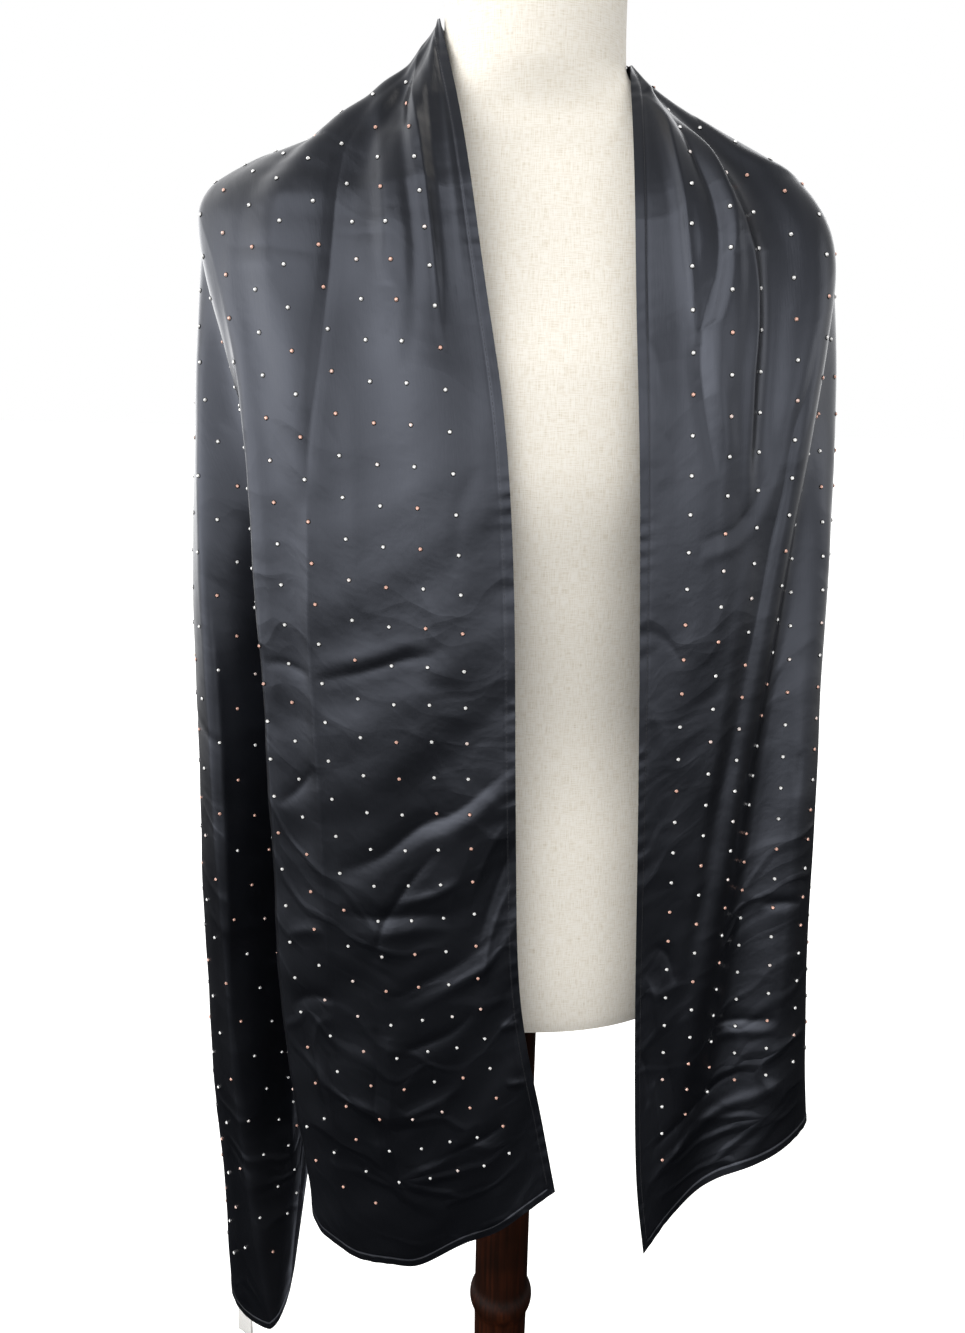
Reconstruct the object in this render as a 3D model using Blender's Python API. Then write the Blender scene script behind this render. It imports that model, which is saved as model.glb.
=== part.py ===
"""Satin shawl worn on a limbless dress form with a turned wooden stand.

Metres, +Z up, the floor at z = 0, the form's front towards -Y.
"""
import math

import bpy
import numpy as np

# Height of the form's and the shawl's tables above the floor
TABLE_LIFT = 0.100

# Stand; the ring's height is in the tables' heights
BASE_RADIUS = 0.170
BASE_HEIGHT = 0.028
POST_RADIUS = 0.0245
RING_RADIUS = 0.0285
RING_HEIGHT = 0.251

# Seats and cloth
SEAT_GAP = 0.0003
SEAM_GAP = 0.0003
CLOTH_WALL = 0.0015
CLOTH_CLEARANCE = 0.0008
LABEL_WALL = 0.0010
LABEL_DROP = 0.024
LABEL_STATION = 3.20
LABEL_SPAN = 0.03

# Dress form sections: height, half width, front depth, back depth, squareness
FORM_SECTIONS = [
    (0.620, 0.146, 0.101, 0.104, 2.2),
    (0.632, 0.151, 0.104, 0.108, 2.2),
    (0.680, 0.160, 0.107, 0.113, 2.2),
    (0.760, 0.158, 0.104, 0.110, 2.2),
    (0.870, 0.126, 0.088, 0.082, 2.1),
    (0.960, 0.130, 0.098, 0.084, 2.1),
    (1.045, 0.146, 0.114, 0.090, 2.2),
    (1.100, 0.152, 0.110, 0.094, 2.3),
    (1.150, 0.165, 0.090, 0.096, 2.4),
    (1.184, 0.180, 0.070, 0.089, 2.4),
    (1.203, 0.184, 0.058, 0.078, 2.3),
    (1.220, 0.166, 0.050, 0.070, 2.2),
    (1.238, 0.131, 0.046, 0.066, 2.1),
    (1.255, 0.096, 0.046, 0.063, 2.0),
    (1.270, 0.072, 0.050, 0.061, 2.0),
    (1.286, 0.0598, 0.055, 0.0595, 2.0),
    (1.320, 0.0583, 0.0572, 0.0583, 2.0),
    (1.372, 0.0580, 0.0570, 0.0580, 2.0),
    (1.380, 0.0560, 0.0550, 0.0560, 2.0),
]
FORM_SIDES = 56
FORM_LEVELS = 20

# Shawl over the shoulders, one row for each ring from the neck outwards.
# Columns: right edge x, y, z; right side x, y, z; back y, z; left side x, y, z; left edge x, y, z
YOKE_RINGS = [
    (0.0612, -0.012, 1.2870, 0.0625, 0.012, 1.2920, 0.0665, 1.3020, -0.0625, 0.012, 1.3160, -0.0606, -0.012, 1.3130),
    (0.0608, -0.046, 1.2590, 0.0860, 0.002, 1.2620, 0.0790, 1.2700, -0.0790, 0.002, 1.2790, -0.0530, -0.036, 1.2850),
    (0.0614, -0.074, 1.2295, 0.1250, 0.000, 1.2415, 0.0930, 1.2320, -0.1220, 0.000, 1.2475, -0.0450, -0.058, 1.2600),
    (0.0622, -0.098, 1.1900, 0.1670, 0.000, 1.2230, 0.1040, 1.1850, -0.1820, 0.000, 1.2270, -0.0335, -0.092, 1.2010),
    (0.0640, -0.114, 1.1400, 0.1985, -0.004, 1.1930, 0.1100, 1.1300, -0.2165, -0.008, 1.2010, -0.0255, -0.111, 1.1500),
]

# Shawl below the shoulders, one row for each ring; fall runs from 0 at the last
# yoke ring to 1 at the hem.
# Columns: fall, right edge x, right side x, left side x, left edge x, front y, side y, back y
FALL_RINGS = [
    (0.12, 0.0705, 0.2020, -0.2240, -0.0110, -0.124, -0.018, 0.1150),
    (0.30, 0.0777, 0.2062, -0.2340, -0.0030, -0.126, -0.024, 0.1170),
    (0.50, 0.0845, 0.2112, -0.2395, 0.0010, -0.128, -0.028, 0.1190),
    (0.72, 0.0915, 0.2218, -0.2430, 0.0065, -0.131, -0.030, 0.1220),
    (0.90, 0.0995, 0.2345, -0.2410, 0.0265, -0.134, -0.032, 0.1270),
    (1.00, 0.1090, 0.2440, -0.2410, 0.0391, -0.136, -0.034, 0.1300),
]

# Stations run round the shawl: 0 right edge, 1 right side, 2 mid back, 3 left side, 4 left edge
# Columns: station, hem height
HEM_LINE = [
    (0.00, 0.4490), (0.09, 0.4820), (0.21, 0.5060), (0.42, 0.5360), (0.60, 0.5480),
    (0.80, 0.5440), (1.00, 0.5240), (1.22, 0.5100), (1.55, 0.5900), (2.00, 0.6200),
    (2.40, 0.6000), (2.68, 0.4650), (2.88, 0.3330), (3.02, 0.3180), (3.15, 0.3180),
    (3.24, 0.3190), (3.28, 0.3200), (3.305, 0.3240), (3.32, 0.3450), (3.332, 0.4000),
    (3.345, 0.4580), (3.36, 0.4860), (3.39, 0.4920), (3.42, 0.4740), (3.46, 0.4470),
    (3.54, 0.4290), (3.66, 0.4230), (3.83, 0.4520), (4.00, 0.5060),
]

# Folds: name; station at the neck, shoulder, chest and hem; half width at the shoulder
# and at the hem in stations; how far the cloth stands out (+) or in (-) at the neck,
# shoulder, chest, waist and hem, in millimetres
FOLDS = [
    ("right band ridge", 0.34, 0.26, 0.24, 0.20, 0.15, 0.12, 1, 8, 3, 0, 0),
    ("right gather", 0.52, 0.42, 0.36, 0.30, 0.14, 0.12, 0, -7, -4, 0, 0),
    ("right second ridge", 0.72, 0.62, 0.52, 0.50, 0.15, 0.12, 1, 7, 4, 0, 0),
    ("right long valley", 0.96, 0.86, 0.64, 0.20, 0.16, 0.20, 0, -4, -12, -16, -9),
    ("right outer ridge", 0.98, 0.96, 0.84, 0.50, 0.20, 0.24, 0, 1, 4, 7, 5),
    ("right hem ripple", 0.82, 0.80, 0.80, 0.78, 0.10, 0.13, 0, 0, 0, -3, -8),
    ("right back fold", 1.25, 1.26, 1.28, 1.30, 0.20, 0.24, 0, 0, 5, 12, 14),
    ("right back hollow", 1.45, 1.46, 1.48, 1.50, 0.20, 0.24, 0, 0, -3, -9, -12),
    ("mid back fold", 1.85, 1.82, 1.79, 1.76, 0.24, 0.30, 1, 2, 4, 9, 13),
    ("mid back hollow", 2.12, 2.11, 2.09, 2.06, 0.22, 0.26, 0, 0, -2, -7, -11),
    ("left back fold", 2.38, 2.37, 2.36, 2.36, 0.22, 0.28, 0, 1, 5, 11, 14),
    ("left back hollow", 2.62, 2.61, 2.60, 2.60, 0.18, 0.22, 0, 0, -3, -10, -14),
    ("left outer ridge", 3.06, 3.16, 3.42, 3.45, 0.10, 0.07, 0, 2, 5, 5, 3),
    ("left crease", 3.38, 3.46, 3.54, 3.55, 0.10, 0.09, 0, 5, 3, 3, 3),
    ("left gather", 3.60, 3.64, 3.72, 3.80, 0.12, 0.12, 0, -6, -2, 0, 0),
    ("left neck ridge", 3.78, 3.82, 3.86, 3.90, 0.12, 0.12, 0.5, 6, 2, 0, 0),
    ("left hem ripple", 3.74, 3.74, 3.76, 3.78, 0.10, 0.12, 0, 0, 0, -3, -7),
]

# The deep valley beside the left shoulder, and the way it is pushed in, in degrees from
# +X towards +Y at the shoulder, chest, waist and hem
DEEP_VALLEY = ("left deep valley", 3.00, 3.11, 3.30, 3.365, 0.115, 0.074, 0, 0, -30, -64, -54)
VALLEY_TURN = (20, 40, 68, 72)

# Nodes of the shawl: name, first station and last station
STRETCHES = [
    ("shawl_right_front", 0.0, 1.0),
    ("shawl_back", 1.0, 3.0),
    ("shawl_left_fall", 3.0, 3.36),
    ("shawl_left_front", 3.36, 4.0),
]
# Samples round the shawl: station and how many steps lead up to it
STATION_STEPS = [(1.0, 15), (2.0, 10), (3.0, 10), (3.14, 3), (3.36, 11), (3.48, 7), (3.60, 3), (4.0, 9)]
YOKE_STEPS = 17
FALL_STEPS = 13


def smooth_through(stops, values, at):
    """Cubic curve through a table's values that never overshoots them."""
    xs, ys = np.asarray(stops, float), np.asarray(values, float)
    run = np.diff(xs)
    rise = np.diff(ys) / run
    slope = np.zeros(len(xs))
    slope[0], slope[-1] = rise[0], rise[-1]
    for i in range(1, len(xs) - 1):
        if rise[i - 1] * rise[i] > 0:
            slope[i] = 2 * rise[i - 1] * rise[i] / (rise[i - 1] + rise[i])
    at = np.clip(np.asarray(at, float), xs[0], xs[-1])
    i = np.clip(np.searchsorted(xs, at, side="right") - 1, 0, len(xs) - 2)
    h = run[i]
    t = (at - xs[i]) / h
    return ((2 * t**3 - 3 * t**2 + 1) * ys[i] + (t**3 - 2 * t**2 + t) * h * slope[i]
            + (-2 * t**3 + 3 * t**2) * ys[i + 1] + (t**3 - t**2) * h * slope[i + 1])


def form_section(height):
    stops = [row[0] for row in FORM_SECTIONS]
    return [smooth_through(stops, [row[k] for row in FORM_SECTIONS], height) for k in range(1, 5)]


def form_gauge(points):
    """1 on the form's surface, less inside and more outside."""
    half, front, back, power = form_section(points[..., 2])
    depth = np.where(points[..., 1] < 0, front, back)
    return ((np.abs(points[..., 0]) / half) ** power + (np.abs(points[..., 1]) / depth) ** power) ** (1 / power)


def clear_of_form(points, clearance):
    """Moves points out until they stand the clearance away from the form."""
    points = points.copy()
    step = 1e-4
    for _ in range(12):
        gauge = form_gauge(points)
        slope = np.stack([(form_gauge(points + np.eye(3)[k] * step) - form_gauge(points - np.eye(3)[k] * step))
                          / (2 * step) for k in range(3)], -1)
        length = np.maximum(np.linalg.norm(slope, axis=-1), 1e-6)
        short = np.maximum(clearance - (gauge - 1) / length, 0)
        short = np.where(points[..., 2] > FORM_SECTIONS[0][0], short, 0)
        points += slope / length[..., None] * np.minimum(short, 0.01)[..., None]
    return points


def quarter(start, end, share, power, along_x):
    """Rounded corner from start to end, leaving start along x or along y; share is of its length."""
    turn = np.linspace(0, math.pi / 2, 121)
    out, back = np.sin(turn) ** (2 / power), 1 - np.cos(turn) ** (2 / power)
    if not along_x:
        out, back = 1 - np.cos(turn) ** (2 / power), np.sin(turn) ** (2 / power)
    line = np.stack([start[0] + (end[0] - start[0]) * out, start[1] + (end[1] - start[1]) * back], -1)
    run = np.concatenate([[0], np.cumsum(np.linalg.norm(np.diff(line, axis=0), axis=1))])
    return np.stack([np.interp(share * run[-1], run, line[:, k]) for k in range(2)], -1)


def ring(edge_r, side_r, back_y, side_l, edge_l, station):
    """Plan of one ring of the shawl at the stations."""
    plan = np.zeros((len(station), 2))
    middle = (0.0, back_y)
    parts = [
        (0, edge_r, side_r, 2.9, True), (1, side_r, middle, 2.5, False),
        (2, middle, side_l, 2.5, True), (3, side_l, edge_l, 2.9, False),
    ]
    for first, start, end, power, along_x in parts:
        pick = (station >= first) & (station <= first + 1)
        plan[pick] = quarter(start, end, station[pick] - first, power, along_x)
    return plan


def ring_rows():
    """All rings as rows of plan points and heights, with their place down the cloth."""
    rows = []
    for k, (rx, ry, rz, sx, sy, sz, by, bz, tx, ty, tz, lx, ly, lz) in enumerate(YOKE_RINGS):
        rows.append((k, (rx, ry), (sx, sy), by, (tx, ty), (lx, ly), (rz, sz, bz, tz, lz)))
    last = YOKE_RINGS[-1]
    for k, (fall, rx, sx, tx, lx, fy, sy, by) in enumerate(FALL_RINGS):
        heights = (last[2], last[5], last[7], last[10], last[13])
        rows.append((len(YOKE_RINGS) + k, (rx, fy), (sx, sy), by, (tx, sy), (lx, fy), (fall, heights)))
    return rows


def hem_height(station):
    return smooth_through([row[0] for row in HEM_LINE], [row[1] for row in HEM_LINE], station)


def fold_depth(fold, station, down):
    """How far one fold moves the cloth; down runs from 0 at the neck to 1 at the hem."""
    name, *centres = fold[:5]
    centre = smooth_through([0.0, 0.40, 0.55, 1.0], centres, down)
    width = smooth_through([0.0, 0.40, 1.0], [fold[5], fold[5], fold[6]], down)
    depth = smooth_through([0.0, 0.36, 0.52, 0.75, 1.0], fold[7:], down) / 1000
    share = np.clip(np.abs(station - centre) / width, 0, 1)
    return depth * (0.5 + 0.5 * np.cos(math.pi * share))


def surface(station, levels):
    """Grid of points on the shawl's outer face, levels by stations, before the folds."""
    rows = ring_rows()
    keys = np.zeros((len(rows), len(station), 3))
    for i, (_, edge_r, side_r, by, side_l, edge_l, z) in enumerate(rows):
        keys[i, :, :2] = ring(edge_r, side_r, by, side_l, edge_l, station)
        if len(z) == 5:
            keys[i, :, 2] = smooth_through(range(5), z, station)
        else:
            top = smooth_through(range(5), z[1], station)
            keys[i, :, 2] = top + (hem_height(station) - top) * z[0]
    grid = np.zeros((len(levels), len(station), 3))
    for j in range(len(station)):
        for axis in range(3):
            grid[:, j, axis] = smooth_through(range(len(rows)), keys[:, j, axis], levels)
    return grid


def normals(grid):
    """Outward normals of the grid."""
    down = np.gradient(grid, axis=0)
    across = np.gradient(grid, axis=1)
    out = np.cross(down, across)
    return out / np.maximum(np.linalg.norm(out, axis=-1), 1e-9)[..., None]


def draped(station, levels):
    """The shawl's outer face with its folds, clear of the form."""
    grid = surface(station, levels)
    down = (levels / (len(YOKE_RINGS) + len(FALL_RINGS) - 1))[:, None] * np.ones(len(station))
    around = station[None, :] * np.ones((len(levels), 1))
    depth = sum(fold_depth(fold, around, down) for fold in FOLDS)
    out = normals(grid)
    grid = grid + out * depth[..., None]
    turn = np.radians(smooth_through([0.36, 0.52, 0.75, 1.0], VALLEY_TURN, down))
    inwards = np.stack([np.cos(turn), np.sin(turn), 0 * turn], -1)
    grid -= inwards * fold_depth(DEEP_VALLEY, around, down)[..., None]
    return clear_of_form(grid, CLOTH_CLEARANCE + CLOTH_WALL)


def station_list():
    stops, at = [0.0], 0.0
    for end, steps in STATION_STEPS:
        stops += [at + (end - at) * (k + 1) / steps for k in range(steps)]
        at = end
    return np.array(stops)


def level_list():
    yoke = len(YOKE_RINGS) - 1
    last = len(YOKE_RINGS) + len(FALL_RINGS) - 1
    upper = np.linspace(0, yoke + 0.6, YOKE_STEPS + 1)
    return np.concatenate([upper, np.linspace(upper[-1], last, FALL_STEPS + 1)[1:]])


def add_mesh(name, points, faces, material, smooth=True, lift=TABLE_LIFT):
    mesh = bpy.data.meshes.new(name)
    mesh.from_pydata([(p[0], p[1], p[2] + lift) for p in points], [], faces)
    mesh.update()
    mesh.materials.append(material)
    for polygon in mesh.polygons:
        polygon.use_smooth = smooth
    thing = bpy.data.objects.new(name, mesh)
    bpy.context.scene.collection.objects.link(thing)
    return thing


def paint(name, colour, roughness):
    material = bpy.data.materials.new(name)
    material.use_nodes = True
    shader = material.node_tree.nodes["Principled BSDF"]
    shader.inputs["Base Color"].default_value = (*colour, 1)
    shader.inputs["Roughness"].default_value = roughness
    return material


def walled(outer, inner):
    """Points and faces of a closed sheet from its outer and inner grids."""
    rows, columns = outer.shape[:2]
    points = np.concatenate([outer.reshape(-1, 3), inner.reshape(-1, 3)])
    shift = rows * columns
    faces = []
    for i in range(rows - 1):
        for j in range(columns - 1):
            a, b, c, d = i * columns + j, i * columns + j + 1, (i + 1) * columns + j + 1, (i + 1) * columns + j
            faces.append((a, d, c, b))
            faces.append((a + shift, b + shift, c + shift, d + shift))
    border = [j for j in range(columns)] + [i * columns + columns - 1 for i in range(1, rows)]
    border += [(rows - 1) * columns + j for j in range(columns - 2, -1, -1)]
    border += [i * columns for i in range(rows - 2, 0, -1)]
    for k, a in enumerate(border):
        b = border[(k + 1) % len(border)]
        if a < b:
            faces += [(a, b, b + shift), (a, b + shift, a + shift)]
        else:
            faces += [(a, b, a + shift), (b, b + shift, a + shift)]
    return points, faces


def pulled_in(grid, first, last):
    """Draws the grid's end columns in by half a seam gap."""
    grid = grid.copy()
    for here, beside, wanted in ((0, 1, first), (-1, -2, last)):
        if wanted:
            step = grid[:, beside] - grid[:, here]
            grid[:, here] += step / np.linalg.norm(step, axis=-1)[:, None] * SEAM_GAP / 2
    return grid


def turned(name, profile, sides, material):
    """Closed round body from (radius, height) rows, the first and last on the axis."""
    points = [(0, 0, profile[0][1])]
    for radius, height in profile:
        points += [(radius * math.cos(2 * math.pi * k / sides), radius * math.sin(2 * math.pi * k / sides), height)
                   for k in range(sides)]
    points.append((0, 0, profile[-1][1]))
    faces = []
    for k in range(sides):
        n = (k + 1) % sides
        faces.append((0, 1 + n, 1 + k))
        for i in range(len(profile) - 1):
            faces.append((1 + i * sides + k, 1 + i * sides + n, 1 + (i + 1) * sides + n, 1 + (i + 1) * sides + k))
        top = 1 + (len(profile) - 1) * sides
        faces.append((top + k, top + n, len(points) - 1))
    return add_mesh(name, points, faces, material, lift=0)


def build_form(material):
    stops = [row[0] for row in FORM_SECTIONS]
    heights = smooth_through([0, 0.02, 0.42, 0.70, 0.90, 0.99, 1],
                             [stops[0], stops[1], 1.0, 1.20, 1.30, stops[-2], stops[-1]],
                             np.linspace(0, 1, FORM_LEVELS))
    heights = sorted(set(stops) | {round(float(h), 4) for h in heights
                                   if min(abs(h - s) for s in stops) > 0.012})
    points, faces = [], []
    for height in heights:
        half, front, back, power = [float(v) for v in form_section(height)]
        for k in range(FORM_SIDES):
            turn = 2 * math.pi * k / FORM_SIDES
            s, c = math.sin(turn), math.cos(turn)
            depth = front if c > 0 else back
            points.append((half * math.copysign(abs(s) ** (2 / power), s),
                           -depth * math.copysign(abs(c) ** (2 / power), c), height))
    for i in range(len(heights) - 1):
        for k in range(FORM_SIDES):
            n = (k + 1) % FORM_SIDES
            faces.append((i * FORM_SIDES + k, i * FORM_SIDES + n, (i + 1) * FORM_SIDES + n, (i + 1) * FORM_SIDES + k))
    top = (len(heights) - 1) * FORM_SIDES
    low_middle, top_middle = len(points), len(points) + 1
    points += [(0, 0, heights[0]), (0, 0, heights[-1])]
    for k in range(FORM_SIDES):
        n = (k + 1) % FORM_SIDES
        faces.append((k, low_middle, n))
        faces.append((top + k, top + n, top_middle))
    return add_mesh("dress_form", points, faces, material)


for thing in list(bpy.data.objects):
    bpy.data.objects.remove(thing, do_unlink=True)

satin = paint("black_satin", (0.012, 0.013, 0.016), 0.42)
linen = paint("oatmeal_linen", (0.72, 0.68, 0.60), 0.85)
wood = paint("dark_wood", (0.085, 0.032, 0.016), 0.40)
label_tape = paint("label_tape", (0.55, 0.55, 0.55), 0.70)

build_form(linen)

turned("stand_base", [(BASE_RADIUS - 0.004, 0.0), (BASE_RADIUS, 0.004), (BASE_RADIUS, 0.014),
                      (BASE_RADIUS - 0.006, 0.021), (BASE_RADIUS - 0.030, 0.025), (0.045, BASE_HEIGHT)], 48, wood)
post_foot = BASE_HEIGHT + SEAT_GAP
post_head = FORM_SECTIONS[0][0] + TABLE_LIFT - SEAT_GAP
ring_at = RING_HEIGHT + TABLE_LIFT
turned("stand_post", [
    (0.034, post_foot), (0.036, post_foot + 0.006), (0.036, post_foot + 0.016), (0.030, post_foot + 0.024),
    (0.0225, post_foot + 0.045), (POST_RADIUS - 0.001, 0.160), (POST_RADIUS, ring_at - 0.030),
    (POST_RADIUS + 0.0005, ring_at - 0.015), (RING_RADIUS, ring_at - 0.007),
    (RING_RADIUS + 0.001, ring_at), (RING_RADIUS, ring_at + 0.007),
    (POST_RADIUS + 0.0005, ring_at + 0.014), (POST_RADIUS, ring_at + 0.024), (POST_RADIUS, post_head),
], 28, wood)

stations, levels = station_list(), level_list()
outer = draped(stations, levels)
inner = clear_of_form(outer - normals(outer) * CLOTH_WALL, CLOTH_CLEARANCE)
for name, first, last in STRETCHES:
    pick = (stations >= first - 1e-6) & (stations <= last + 1e-6)
    ends = (first > 0, last < 4)
    add_mesh(name, *walled(pulled_in(outer[:, pick], *ends), pulled_in(inner[:, pick], *ends)), satin)

# Label: its top edge follows the hem of the left fall, a seat gap below it
pick = np.flatnonzero(np.abs(stations - LABEL_STATION) < LABEL_SPAN)
label_top = outer[-1, pick].copy()
label_top[:, 2] = np.minimum(outer[-1, pick, 2], inner[-1, pick, 2]) - SEAT_GAP
label = np.stack([label_top, label_top - (0, 0, LABEL_DROP)])
inwards = (inner - outer)[-1, pick] * (1, 1, 0)
inwards /= np.linalg.norm(inwards, axis=1)[:, None]
add_mesh("care_label", *walled(label + inwards * 0.0002, label + inwards * (0.0002 + LABEL_WALL)), label_tape, False)
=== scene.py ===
import math

import bpy
import numpy as np
from mathutils import Matrix, Vector


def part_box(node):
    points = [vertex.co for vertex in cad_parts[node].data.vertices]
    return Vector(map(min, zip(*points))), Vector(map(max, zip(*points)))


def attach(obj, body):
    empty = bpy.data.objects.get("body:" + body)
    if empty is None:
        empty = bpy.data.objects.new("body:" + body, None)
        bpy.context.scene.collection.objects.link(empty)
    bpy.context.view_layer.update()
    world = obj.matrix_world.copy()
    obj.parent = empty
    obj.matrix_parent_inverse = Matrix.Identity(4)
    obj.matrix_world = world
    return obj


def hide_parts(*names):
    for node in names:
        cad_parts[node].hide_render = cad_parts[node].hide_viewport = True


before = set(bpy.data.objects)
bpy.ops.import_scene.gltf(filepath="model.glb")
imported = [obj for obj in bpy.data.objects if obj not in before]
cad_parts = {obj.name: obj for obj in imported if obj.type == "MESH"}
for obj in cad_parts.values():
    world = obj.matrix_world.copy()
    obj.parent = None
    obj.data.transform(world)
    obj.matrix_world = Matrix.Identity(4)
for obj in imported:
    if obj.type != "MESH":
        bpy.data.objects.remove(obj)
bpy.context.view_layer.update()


# Dress form: a limbless padded torso with a tall neck, covered in oatmeal linen.
# The cover is pulled smooth over the padding, so only the yarn's slubs show.
TABLE_LIFT = 0.100
# Columns: height, half width, front depth, back depth, squareness
FORM_SECTIONS = [
    (0.620, 0.146, 0.101, 0.104, 2.2),
    (0.632, 0.151, 0.104, 0.108, 2.2),
    (0.680, 0.160, 0.107, 0.113, 2.2),
    (0.760, 0.158, 0.104, 0.110, 2.2),
    (0.870, 0.126, 0.088, 0.082, 2.1),
    (0.960, 0.130, 0.098, 0.084, 2.1),
    (1.045, 0.146, 0.114, 0.090, 2.2),
    (1.100, 0.152, 0.110, 0.094, 2.3),
    (1.150, 0.165, 0.090, 0.096, 2.4),
    (1.184, 0.180, 0.070, 0.089, 2.4),
    (1.203, 0.184, 0.058, 0.078, 2.3),
    (1.220, 0.166, 0.050, 0.070, 2.2),
    (1.238, 0.131, 0.046, 0.066, 2.1),
    (1.255, 0.096, 0.046, 0.063, 2.0),
    (1.270, 0.072, 0.050, 0.061, 2.0),
    (1.286, 0.0598, 0.055, 0.0595, 2.0),
    (1.320, 0.0583, 0.0572, 0.0583, 2.0),
    (1.372, 0.0580, 0.0570, 0.0580, 2.0),
    (1.380, 0.0560, 0.0550, 0.0560, 2.0),
]
FORM_SIDES = 144
FORM_ROW_STEP = 0.005
LINEN_PALE = "#efeae0"
LINEN_DEEP = "#e4dccd"
LINEN_SLUB = "#cdc3af"
SLUB_LENGTH = 0.0065
SLUB_WIDTH = 0.0006
YARN_DEPTH = 0.0012


def linear(code):
    """Linear RGBA of an sRGB hex colour."""
    parts = [int(code[k:k + 2], 16) / 255 for k in (1, 3, 5)]
    return (*[c / 12.92 if c <= 0.04045 else ((c + 0.055) / 1.055) ** 2.4 for c in parts], 1)


def add_node(tree, kind, inputs=None, stops=(), **settings):
    """Adds a node; an input is a number, a colour or another node's socket, and stops are the
    (place, hex colour) pairs of a colour ramp."""
    node = tree.nodes.new(kind)
    for name, value in settings.items():
        setattr(node, name, value)
    for name, value in (inputs or {}).items():
        if isinstance(value, bpy.types.NodeSocket):
            tree.links.new(value, node.inputs[name])
        else:
            node.inputs[name].default_value = value
    if stops:
        ramp = node.color_ramp.elements
        while len(ramp) < len(stops):
            ramp.new(0.5)
        for element, (place, code) in zip(ramp, stops):
            element.position = place
            element.color = linear(code)
    return node


def finish_of(name, roughness, **sockets):
    """A material with its shader; constant values sit on the shader's own sockets."""
    material = bpy.data.materials.new(name)
    material.use_nodes = True
    tree = material.node_tree
    shader = tree.nodes["Principled BSDF"]
    shader.inputs["Roughness"].default_value = roughness
    for socket, value in sockets.items():
        shader.inputs[socket.replace("_", " ")].default_value = value
    return material, tree, shader


def smooth_through(stops, values, at):
    """Cubic curve through a table's values that never overshoots them."""
    xs, ys = np.asarray(stops, float), np.asarray(values, float)
    run = np.diff(xs)
    rise = np.diff(ys) / run
    slope = np.zeros(len(xs))
    slope[0], slope[-1] = rise[0], rise[-1]
    for i in range(1, len(xs) - 1):
        if rise[i - 1] * rise[i] > 0:
            slope[i] = 2 * rise[i - 1] * rise[i] / (rise[i - 1] + rise[i])
    at = np.clip(np.asarray(at, float), xs[0], xs[-1])
    i = np.clip(np.searchsorted(xs, at, side="right") - 1, 0, len(xs) - 2)
    h = run[i]
    t = (at - xs[i]) / h
    return ((2 * t**3 - 3 * t**2 + 1) * ys[i] + (t**3 - 2 * t**2 + t) * h * slope[i]
            + (-2 * t**3 + 3 * t**2) * ys[i + 1] + (t**3 - t**2) * h * slope[i + 1])


def run_along(grid, axis):
    """Distance along the grid from its first row or column."""
    run = np.cumsum(np.linalg.norm(np.diff(grid, axis=axis), axis=-1), axis=axis)
    return np.insert(run, 0, 0, axis=axis)


def form_section(height):
    """Half width, front depth, back depth and squareness of the form at a height."""
    stops = [row[0] for row in FORM_SECTIONS]
    return [smooth_through(stops, [row[k] for row in FORM_SECTIONS], height) for k in range(1, 5)]


def grid_faces(rows, columns, closed=False):
    """Quads of a grid, rows running down; closed joins the last column to the first."""
    here = np.arange(rows * columns).reshape(rows, columns)
    beside = np.roll(here, -1, axis=1)
    if not closed:
        here, beside = here[:, :-1], beside[:, :-1]
    return np.stack([here[:-1], here[1:], beside[1:], beside[:-1]], -1).reshape(-1, 4)


def mesh_piece(name, points, faces, material, cloth=None, normals=None):
    """A smooth mesh object at the origin; cloth is a (across, down) pair in metres for each point."""
    mesh = bpy.data.meshes.new(name)
    mesh.from_pydata(np.asarray(points).tolist(), [], [list(face) for face in faces])
    mesh.update()
    mesh.materials.append(material)
    mesh.polygons.foreach_set("use_smooth", [True] * len(mesh.polygons))
    if cloth is not None:
        corner = np.zeros(len(mesh.loops), dtype=np.int32)
        mesh.loops.foreach_get("vertex_index", corner)
        layer = mesh.uv_layers.new(name="cloth")
        layer.data.foreach_set("uv", np.asarray(cloth)[corner].ravel())
    if normals is not None:
        mesh.normals_split_custom_set_from_vertices(np.asarray(normals).tolist())
    piece = bpy.data.objects.new(name, mesh)
    bpy.context.scene.collection.objects.link(piece)
    return piece


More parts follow.
